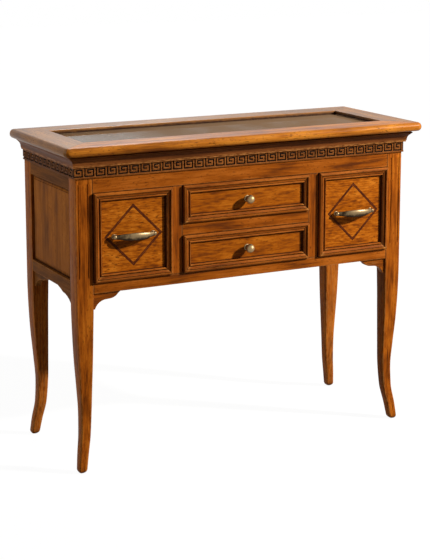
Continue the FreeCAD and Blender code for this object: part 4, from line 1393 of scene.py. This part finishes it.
@dataclass
class Drawer:
    """A drawer front with its frame moulding, and a diamond line where it is deep."""

    body: Body
    seed: int
    ease: float = 0.0006
    moulding_width: float = 0.022
    moulding_rise: float = 0.008
    moulding_glaze: float = 0.0035
    mitre_gap: float = 0.00008
    mitre_line: float = 0.0014
    mitre_reach: float = 0.010
    mitre_wear: float = 0.25
    low_mitre_wear: float = 0.95
    right_painted_shade: float = 0.62
    inlay_half: float = 0.0805
    inlay_width: float = 0.006
    inlay_proud: float = 0.00025
    shares: Shares = (
        (0.00, 0.00), (0.00, 0.45), (0.25, 1.00, 0.07, 0.84), (0.30, 1.00), (0.32, 0.80),
        (0.37, 0.80), (0.385, 0.90), (0.64, 0.52, 0.48, 0.66), (0.655, 0.38), (0.705, 0.38),
        (0.72, 0.56), (0.93, 0.52, 0.83, 0.86), (0.95, 0.26), (1.00, 0.00))

    def build(self) -> None:
        """Make and seat the front, the moulding, the inlay and the pull."""
        name = self.body.value
        low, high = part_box(f"{name}_front")
        deep = self.body in (Body.LEFT, Body.RIGHT)
        skin = Skin()
        self._front(skin, low, high)
        skin.seat(f"{name}_front_board", self.body, Slot.PANEL,
                  Finish.PANEL if deep else Finish.SMALL_PANEL, f"{name}_front")
        skin = Skin()
        self._moulding(skin, low, high)
        skin.seat(f"{name}_moulding_run", self.body, Slot.MOULDING, Finish.MOULDING,
                  f"{name}_moulding", crease=30.0)
        if not deep:
            BallKnob(self.body).build()
            return
        skin = Skin()
        self._inlay(skin, low, (low + high) / 2)
        skin.seat(f"{name}_inlay_line", self.body, Slot.INLAY, Finish.INLAY, f"{name}_inlay")
        BowHandle(self.body).build()

    def _front(self, skin: Skin, low: Vector, high: Vector) -> None:
        """The front board, with glaze and painted shade on its face where the moulding ends, and on
        its edges.

        Args:
            skin: What it is added to.
            low: The front's lowest corner.
            high: The front's highest corner.
        """
        inner, ease = self.moulding_width, self.ease
        for amount, y, dark in (
                (inner + self.moulding_glaze, low.y, 0.0), (inner, low.y, 0.7),
                (ease, low.y, 0.7), (0.0, low.y + ease, 0.7), (0.0, high.y - ease, 0.7),
                (ease, high.y, 0.7)):
            for x, z in rectangle(low, high, 0, 2, amount):
                skin.put((x, y, z), dark)
        skin.close(Grain(Axis.X, self.seed), 4)

    def _moulding(self, skin: Skin, low: Vector, high: Vector) -> None:
        """Four mitred lengths round the front.

        Args:
            skin: What they are added to.
            low: The front's lowest corner.
            high: The front's highest corner.
        """
        section = Profile(self.shares, self.moulding_width, self.moulding_rise).points()
        clears = (0.0, self.mitre_line, self.mitre_reach)
        stations = [(True, clear) for clear in clears] + [(False, clear) for clear in clears[::-1]]
        for number, (axis, at_high) in enumerate(product((0, 2), (False, True))):
            other = 2 - axis
            worn = self.low_mitre_wear if number == 0 else self.mitre_wear
            for start, clear in stations:
                for inward, out, dark, rub in section:
                    point = Vector((0.0, low.y - out, 0.0))
                    point[other] = high[other] - inward if at_high else low[other] + inward
                    run = inward + self.mitre_gap + clear
                    point[axis] = low[axis] + run if start else high[axis] - run
                    # Painted shade: the moulding darkens towards the front board, where its shadow
                    # falls.
                    dark = max(dark, 1.0 - out / (self.moulding_rise * 0.6))
                    # Painted shade: the inner half of the right-hand length is darkened as if in
                    # shade.
                    if axis == 2 and at_high and inward > self.moulding_width * 0.6:
                        dark = max(dark, self.right_painted_shade)
                    if clear == 0.0:
                        dark = max(dark, 0.75)
                    elif clear == self.mitre_line:
                        rub = max(rub, worn * out / self.moulding_rise)
                    skin.put(point, dark, rub)
            skin.close(Grain(Axis.Z if axis else Axis.X, self.seed * 7 + number), len(section))

    def _inlay(self, skin: Skin, low: Vector, middle: Vector) -> None:
        """Four mitred strips in a diamond, a hair proud of the front.

        Args:
            skin: What they are added to.
            low: The front's lowest corner.
            middle: The front's middle.
        """
        outer, inner = self.inlay_half, self.inlay_half - self.inlay_width * DIAGONAL
        sunk, proud = low.y + 0.0008, low.y - self.inlay_proud
        section = (
            (outer, sunk, 1.0), (outer, proud + 0.0001, 1.0), (outer - 0.0008, proud, 0.8),
            (outer - 0.0026, proud, 0.0), (inner + 0.0026, proud, 0.0),
            (inner + 0.0008, proud, 0.8), (inner, proud + 0.0001, 1.0), (inner, sunk, 1.0))
        corners = [Vector(way) for way in ((1, 0, 0), (0, 0, 1), (-1, 0, 0), (0, 0, -1))]
        for number, ends in enumerate(zip(corners, corners[1:] + corners[:1])):
            for end in ends:
                for reach, y, dark in section:
                    point = middle + end * reach
                    point.y = y
                    skin.put(point, dark)
            skin.close(Grain(Axis.X if number % 2 else Axis.Z, self.seed + number), len(section))


# Turns what stands along Z so that it stands out from a drawer front.
TO_FRONT = Matrix.Rotation(math.pi / 2, 4, "X")


@dataclass
class BowHandle:
    """A cast bow handle: a bar that swells at its middle, ringed ends, posts and rosettes."""

    body: Body
    half_span: float = 0.055
    reach: float = 0.030
    belly: float = 0.0095
    depth: float = 0.008
    bead: float = 0.0060
    post: float = 0.0035
    post_inset: float = 0.001
    rosette: float = 0.0062
    sunk: float = 0.0002
    left_painted_reflection: float = 0.62
    stations: int = 41
    around: int = 20
    end_around: int = 24
    shares: tuple[tuple[float, float, float, float], ...] = (
        (0.00, 1.04, 1.00, 1.00), (0.30, 0.98, 0.98, 0.95), (0.62, 0.80, 0.94, 0.79),
        (0.85, 0.64, 0.90, 0.58), (1.00, 0.58, 0.88, 0.43))
    neck: tuple[Triple, ...] = (
        (0.0, -1.9, 0.6), (0.62, -1.8, 0.5), (0.86, -1.55, 0.2), (0.88, -1.35, 0.3),
        (0.66, -1.15, 0.95), (0.64, -1.0, 0.95))
    bead_glaze: tuple[float, ...] = (0.5, 0.2, 0.1, 0.0, 0.0, 0.05, 0.1, 0.1)

    def build(self) -> None:
        """Make and seat the handle."""
        name = self.body.value
        middle = face_middle(self.body)
        skin = Skin()
        self._bow(skin, middle)
        for side in Side:
            self._end(skin, middle, side, self.shares[-1][3] * self.reach - self.depth / 2)
        skin.seat(f"{name}_bow", self.body, Slot.BRASS, Finish.BRASS, f"{name}_handle", crease=45.0)

    def _bow(self, skin: Skin, middle: Vector) -> None:
        """The bar, oval in section.

        Args:
            skin: What it is added to.
            middle: The handle's middle on the front.
        """
        rows = [(-row[0], *row[1:]) for row in self.shares[:0:-1]] + list(self.shares)
        places, *sizes = zip(*rows)
        for station in range(self.stations):
            at = -1 + 2 * station / (self.stations - 1)
            tall, thick, out = (smooth_line(places, size, at) for size in sizes)
            # Painted reflection: the bar darkens towards its left end.
            left_painted_reflection = self.left_painted_reflection * held((-at - 0.10) / 0.65)
            for step in range(self.around):
                turn = math.tau * step / self.around
                y = -(out * self.reach - self.depth / 2) - math.cos(turn) * thick * self.depth / 2
                # Patina by the ends, with painted shade darkening the lower half of the bar.
                skin.put(middle + Vector((at * self.half_span, y,
                                          math.sin(turn) * tall * self.belly)),
                         max(left_painted_reflection, 0.60 * (abs(at) - 0.78) / 0.22,
                             0.15 - 0.95 * math.sin(turn)))
        skin.close(Grain(), self.around)

    def _end(self, skin: Skin, middle: Vector, side: Side, out: float) -> None:
        """The ringed bead at one end, with its post and rosette.

        Args:
            skin: What it is added to.
            middle: The handle's middle on the front.
            side: Left or right.
            out: How far the bead's middle stands out.
        """
        bead, rosette, post = self.bead, self.rosette, self.post
        rings = [(bead * wide, bead * high, dark) for wide, high, dark in self.neck]
        for step, dark in enumerate(self.bead_glaze, start=1):
            turn = math.radians(-50 + 140 * step / 8)
            rings.append((max(0.0, bead * math.cos(turn)), bead * math.sin(turn), dark))
        centre = middle + Vector((side.value * self.half_span, -out, 0))
        lathe(skin, rings, Matrix.Translation(centre)
              @ Matrix.Rotation(side.value * math.pi / 2, 4, "Y"), self.end_around)
        foot = middle + Vector((side.value * (self.half_span - self.post_inset), 0, 0))
        rings = [
            (0.0, -self.sunk, 0.8), (rosette, -self.sunk, 0.8), (rosette, 0.0008, 0.3),
            (rosette * 0.86, 0.0016, 0.2), (rosette * 0.66, 0.0016, 0.9),
            (rosette * 0.60, 0.0024, 0.3), (post, 0.0025, 0.95), (post * 0.86, 0.007, 0.6),
            (post * 0.86, out * 0.6, 0.4), (post, out - 0.001, 0.5), (post * 0.8, out, 0.5),
            (0.0, out, 0.5)]
        lathe(skin, rings, Matrix.Translation(foot) @ TO_FRONT, self.end_around)


@dataclass
class BallKnob:
    """A turned ball knob on a short neck and a round plate."""

    body: Body
    radius: float = 0.0115
    reach: float = 0.0285
    neck: float = 0.0045
    plate: float = 0.0085
    sunk: float = 0.0002
    line: float = 0.94
    around: int = 36

    def build(self) -> None:
        """Make and seat the knob."""
        name = self.body.value
        centre = self.reach - self.radius
        r, p, n = self.radius, self.plate, self.neck
        rings = [
            (0.0, -self.sunk, 0.9), (p, -self.sunk, 0.8), (p, 0.0010, 0.3), (p * 0.88, 0.0018, 0.2),
            (p * 0.70, 0.0018, 0.9), (n * 1.15, 0.0025, 0.8), (n, 0.0040, 0.7),
            (n * 1.05, 0.0062, 0.9), (n * 1.7, 0.0074, 0.5), (n * 1.75, 0.0086, 0.9)]
        for step in range(15):
            turn = math.radians(-38 + 128 * step / 14)
            cut = self.line if step in (2, 3) else 1.0
            dark = (0.9, 0.35, 0.9, 0.9)[step] if step < 4 else max(0.0, 0.30 - step * 0.03)
            rings.append((max(0.0, r * math.cos(turn) * cut), centre + r * math.sin(turn), dark))
        skin = Skin()
        lathe(skin, rings, Matrix.Translation(face_middle(self.body)) @ TO_FRONT, self.around)
        skin.seat(f"{name}_ball", self.body, Slot.BRASS, Finish.RUBBED_BRASS, f"{name}_knob",
                  crease=40.0)


@dataclass
class Lid:
    """The glazed lid's four mitred rails, with a bullnose edge."""

    rail: float = 0.084
    nose: float = 0.0116
    corner: float = 0.014
    lip_drop: float = 0.010
    lip_reach: float = 0.008
    lip_edge: float = 0.0012
    mitre_gap: float = 0.00006
    mitre_line: float = 0.0014

    def build(self) -> None:
        """Make and seat the rails."""
        low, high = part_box("lid_rail_front")
        left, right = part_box("lid_rail_left")[0].x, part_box("lid_rail_right")[1].x
        front, back = low.y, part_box("lid_rail_back")[1].y
        corners = [Vector(corner) for corner in (
            (left, front), (right, front), (right, back), (left, back))]
        section = self._section(low.z, high.z)
        for number, name in enumerate(("front", "right", "back", "left")):
            skin = Skin()
            self._rail(skin, corners[number], corners[(number + 1) % 4], section)
            skin.close(Grain(Axis.Y if number % 2 else Axis.X, 100 + number), len(section))
            skin.seat(f"lid_rail_{name}_shaped", Body.LID, Slot.FRAME,
                      Finish.LID_FRONT if name == "front" else Finish.LID, f"lid_rail_{name}",
                      crease=35.0)

    def _section(self, low: float, high: float) -> Section:
        """A rail's section.

        Args:
            low: The level of its foot.
            high: The level of its top.

        Returns:
            Distance in from the outer edge, level, glaze with painted shade under the nose, and
            wear of each point in turn.
        """
        nose, rail, edge, lip = self.nose, self.rail, self.lip_edge, high - self.lip_drop
        # Painted shade: the underside and the lower round of the nose darken towards the bottom.
        points: Section = [(nose + 0.004, low, 0.6, 0.0)]
        for first, centre in ((-90, low + nose), (0, high - nose)):
            for step in range(9):
                turn = math.radians(first + 90 * step / 8)
                points.append((nose - nose * math.cos(turn), centre + nose * math.sin(turn),
                               max(0.0, 0.5 - step * 0.12) if first else 0.0,
                               0.25 if not first and 2 < step < 7 else 0.0))
        return points + [
            (nose + 0.004, high, 0.0, 0.0), (rail - edge - 0.003, high, 0.0, 0.0),
            (rail - edge, high, 0.0, 0.5), (rail - edge * 0.3, high - edge * 0.3, 0.1, 0.9),
            (rail, high - edge, 0.3, 0.3), (rail, lip, 0.9, 0.0),
            (rail - self.lip_reach, lip, 0.9, 0.0), (rail - self.lip_reach, low, 0.0, 0.0)]

    def _rail(self, skin: Skin, start: Vector, end: Vector, section: Section) -> None:
        """One mitred rail with rounded plan corners at its outer edge.

        Args:
            skin: What it is added to.
            start: The outer corner where it starts.
            end: The outer corner where it ends, anticlockwise from the start.
            section: Its section.
        """
        along = (end - start).normalized()
        inward = Vector((-along.y, along.x))
        length = (end - start).length
        # How far round the corner in degrees, and how far off the mitre: None is past the corner.
        line = self.mitre_line
        half = [(45, 0.0), (45, line), (30, line), (15, line), (0, line), (None, 0.0)]
        for far, (turned, clear) in zip([False] * 6 + [True] * 6, half + half[::-1]):
            joint = 0.8 if turned == 45 and clear == 0.0 else 0.0
            for across, level, dark, rub in section:
                if turned is None:
                    run, depth = length * (0.65 if far else 0.35), across
                else:
                    turn = math.radians(turned)
                    radius = self.corner - across
                    run = depth = across
                    if radius > 0:
                        run = self.corner - radius * math.sin(turn)
                        depth = self.corner - radius * math.cos(turn)
                    run += self.mitre_gap + clear
                    if far:
                        run = length - run
                place = start + along * run + inward * depth
                skin.put((*place, level), max(dark, joint), rub)


DRAWERS = (Body.LEFT, Body.RIGHT, Body.UPPER, Body.LOWER)


@dataclass
class Carried:
    """CAD nodes whose shape is right as it is, and that only get a finish."""

    nodes: tuple[tuple[Finish, tuple[str, ...]], ...] = (
        (Finish.INSIDE, ("case_floor", "glass_beads",
                         *(f"{body.value}_bottom" for body in DRAWERS))),
        (Finish.INSIDE_DEEP, ("partitions", "drawer_runners",
                              *(f"{body.value}_box" for body in DRAWERS))),
        (Finish.BACK, ("back_panel", "back_top_rail")),
        (Finish.GLASS, ("lid_glass",)),
        (Finish.FELT, ("case_lining",)),
        (Finish.BRASS, ("hinge_leaves_case", "hinge_leaves_lid", "hinge_pins")))

    def build(self) -> None:
        """Give each carried node its finish."""
        for finish, names in self.nodes:
            for name in names:
                for slot in FRAME["nodes"][name].material_slots:
                    slot.link = "OBJECT"
                    slot.material = finish.material()
                LOG.info("%s: dressed", name)


@dataclass(frozen=True)
class Lamp:
    """A round studio lamp: where it hangs, where it points, its width in metres and its power."""

    name: str
    place: Triple
    target: Triple
    width: float
    watts: float
    colour: Colour

    def build(self) -> None:
        """Hang the lamp."""
        data = bpy.data.lights.new(self.name, "AREA")
        data.shape = "DISK"
        data.size = self.width
        data.energy = self.watts
        data.color = self.colour
        lamp = link(self.name, data)
        lamp.location = self.place
        away = Vector(self.target) - Vector(self.place)
        lamp.rotation_euler = away.to_track_quat("-Z", "Y").to_euler()


@dataclass
class Studio:
    """Pale floor and surround, soft lamps and the camera."""

    eye: Triple = (-1.8930, -3.6418, 1.4262)
    yaw: float = 27.324
    pitch: float = 10.617
    lens: float = 98.907
    shift: float = -0.15
    ambient: float = 0.05
    floor_reach: float = 14.0
    floor_share: float = 0.92
    floor_strength: float = 1.09
    near_white: float = 0.945
    lamps: tuple[Lamp, ...] = (
        Lamp("key", (3.04, -2.27, 2.46), (0.0, -0.10, 0.60), 0.19, 285.0, (1.0, 0.975, 0.94)),
        Lamp("left fill", (-2.55, 0.45, 1.45), (-0.48, 0.05, 0.55), 0.55, 17.0,
             (1.0, 0.98, 0.95)),
        Lamp("rear fill", (0.90, 2.40, 2.60), (0.0, 0.10, 0.60), 0.80, 42.0, (1.0, 0.98, 0.95)))

    def build(self) -> None:
        """Set the scene."""
        self._world()
        self._floor()
        for lamp in self.lamps:
            lamp.build()
        self._camera()
        bpy.context.scene.view_settings.view_transform = "Standard"

    @staticmethod
    def _looked_at(bench: Bench) -> Wire:
        """Tell what the camera sees from light that only falls on the table.

        Args:
            bench: Where the nodes are made.

        Returns:
            1 where the camera looks, straight or by way of metal and glass, and 0 elsewhere.
        """
        camera, glossy, through = (bench.node("ShaderNodeLightPath", output=f"Is {kind} Ray")
                                   for kind in ("Camera", "Glossy", "Transmission"))
        return bench.sum("MAXIMUM", bench.sum("MAXIMUM", camera, glossy), through)

    def _world(self) -> None:
        """A surround that looks white, and lights the table much less than it looks."""
        bench = Bench(bpy.data.worlds.new("studio"))
        lit, seen = (bench.node("ShaderNodeBackground", inputs={
            "Color": (1.0, 1.0, 1.0), "Strength": strength}) for strength in (self.ambient, 1.0))
        bpy.context.scene.world = bench.finish(bench.mix(self._looked_at(bench), lit, seen))

    def _floor(self) -> None:
        """A pale floor that looks white but keeps a shadow."""
        bench = Bench(bpy.data.materials.new("pale floor"))
        place = bench.object_place()
        cloud = bench.noise(place, (1.5, 1.5, 1.5), 3.0, 0.5)
        looked_at = self._looked_at(bench)
        pale = bench.blend(cloud, (0.84, 0.84, 0.84), (0.88, 0.88, 0.88))
        plain = bench.node("ShaderNodeBsdfDiffuse", inputs={
            "Color": bench.blend(looked_at, (0.24, 0.23, 0.22), pale)})
        away = bench.clamp(bench.vector("LENGTH", place, output=1), 0.8, 4.0)
        bright = bench.node("ShaderNodeEmission", inputs={
            "Color": bench.blend(away, (self.near_white,) * 3, (1.0, 1.0, 1.0)),
            "Strength": self.floor_strength})
        mesh = bpy.data.meshes.new("floor")
        reach = self.floor_reach
        mesh.from_pydata([(-reach, -reach, 0), (reach, -reach, 0), (reach, reach, 0),
                          (-reach, reach, 0)], [], [(0, 1, 2, 3)])
        mesh.materials.append(bench.finish(bench.mix(looked_at * self.floor_share, plain, bright)))
        link("floor", mesh)

    def _camera(self) -> None:
        """The camera at the photograph's angle."""
        data = bpy.data.cameras.new("camera")
        data.lens = self.lens
        data.sensor_width = 36.0
        data.shift_y = self.shift
        camera = link("camera", data)
        camera.location = self.eye
        camera.rotation_euler = (math.radians(90 - self.pitch), 0.0, math.radians(-self.yaw))
        bpy.context.scene.camera = camera


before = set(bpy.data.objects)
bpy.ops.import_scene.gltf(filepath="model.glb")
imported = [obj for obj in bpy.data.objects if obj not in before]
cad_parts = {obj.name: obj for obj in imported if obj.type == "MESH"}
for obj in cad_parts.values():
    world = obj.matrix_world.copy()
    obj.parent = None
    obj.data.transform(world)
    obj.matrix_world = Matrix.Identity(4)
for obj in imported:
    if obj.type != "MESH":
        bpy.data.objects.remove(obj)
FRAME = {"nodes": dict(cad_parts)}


def main() -> None:
    """Build the table's looks in order."""
    logging.basicConfig(level=logging.INFO, format="%(name)s %(message)s")
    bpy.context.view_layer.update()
    for part in (Legs(), Frame(), Cornice(), Frieze()):
        part.build()
    for seed, body in enumerate(DRAWERS, start=3):
        Drawer(body, seed).build()
    for part in (Lid(), Carried(), Studio()):
        part.build()


if __name__ == "__main__":
    main()
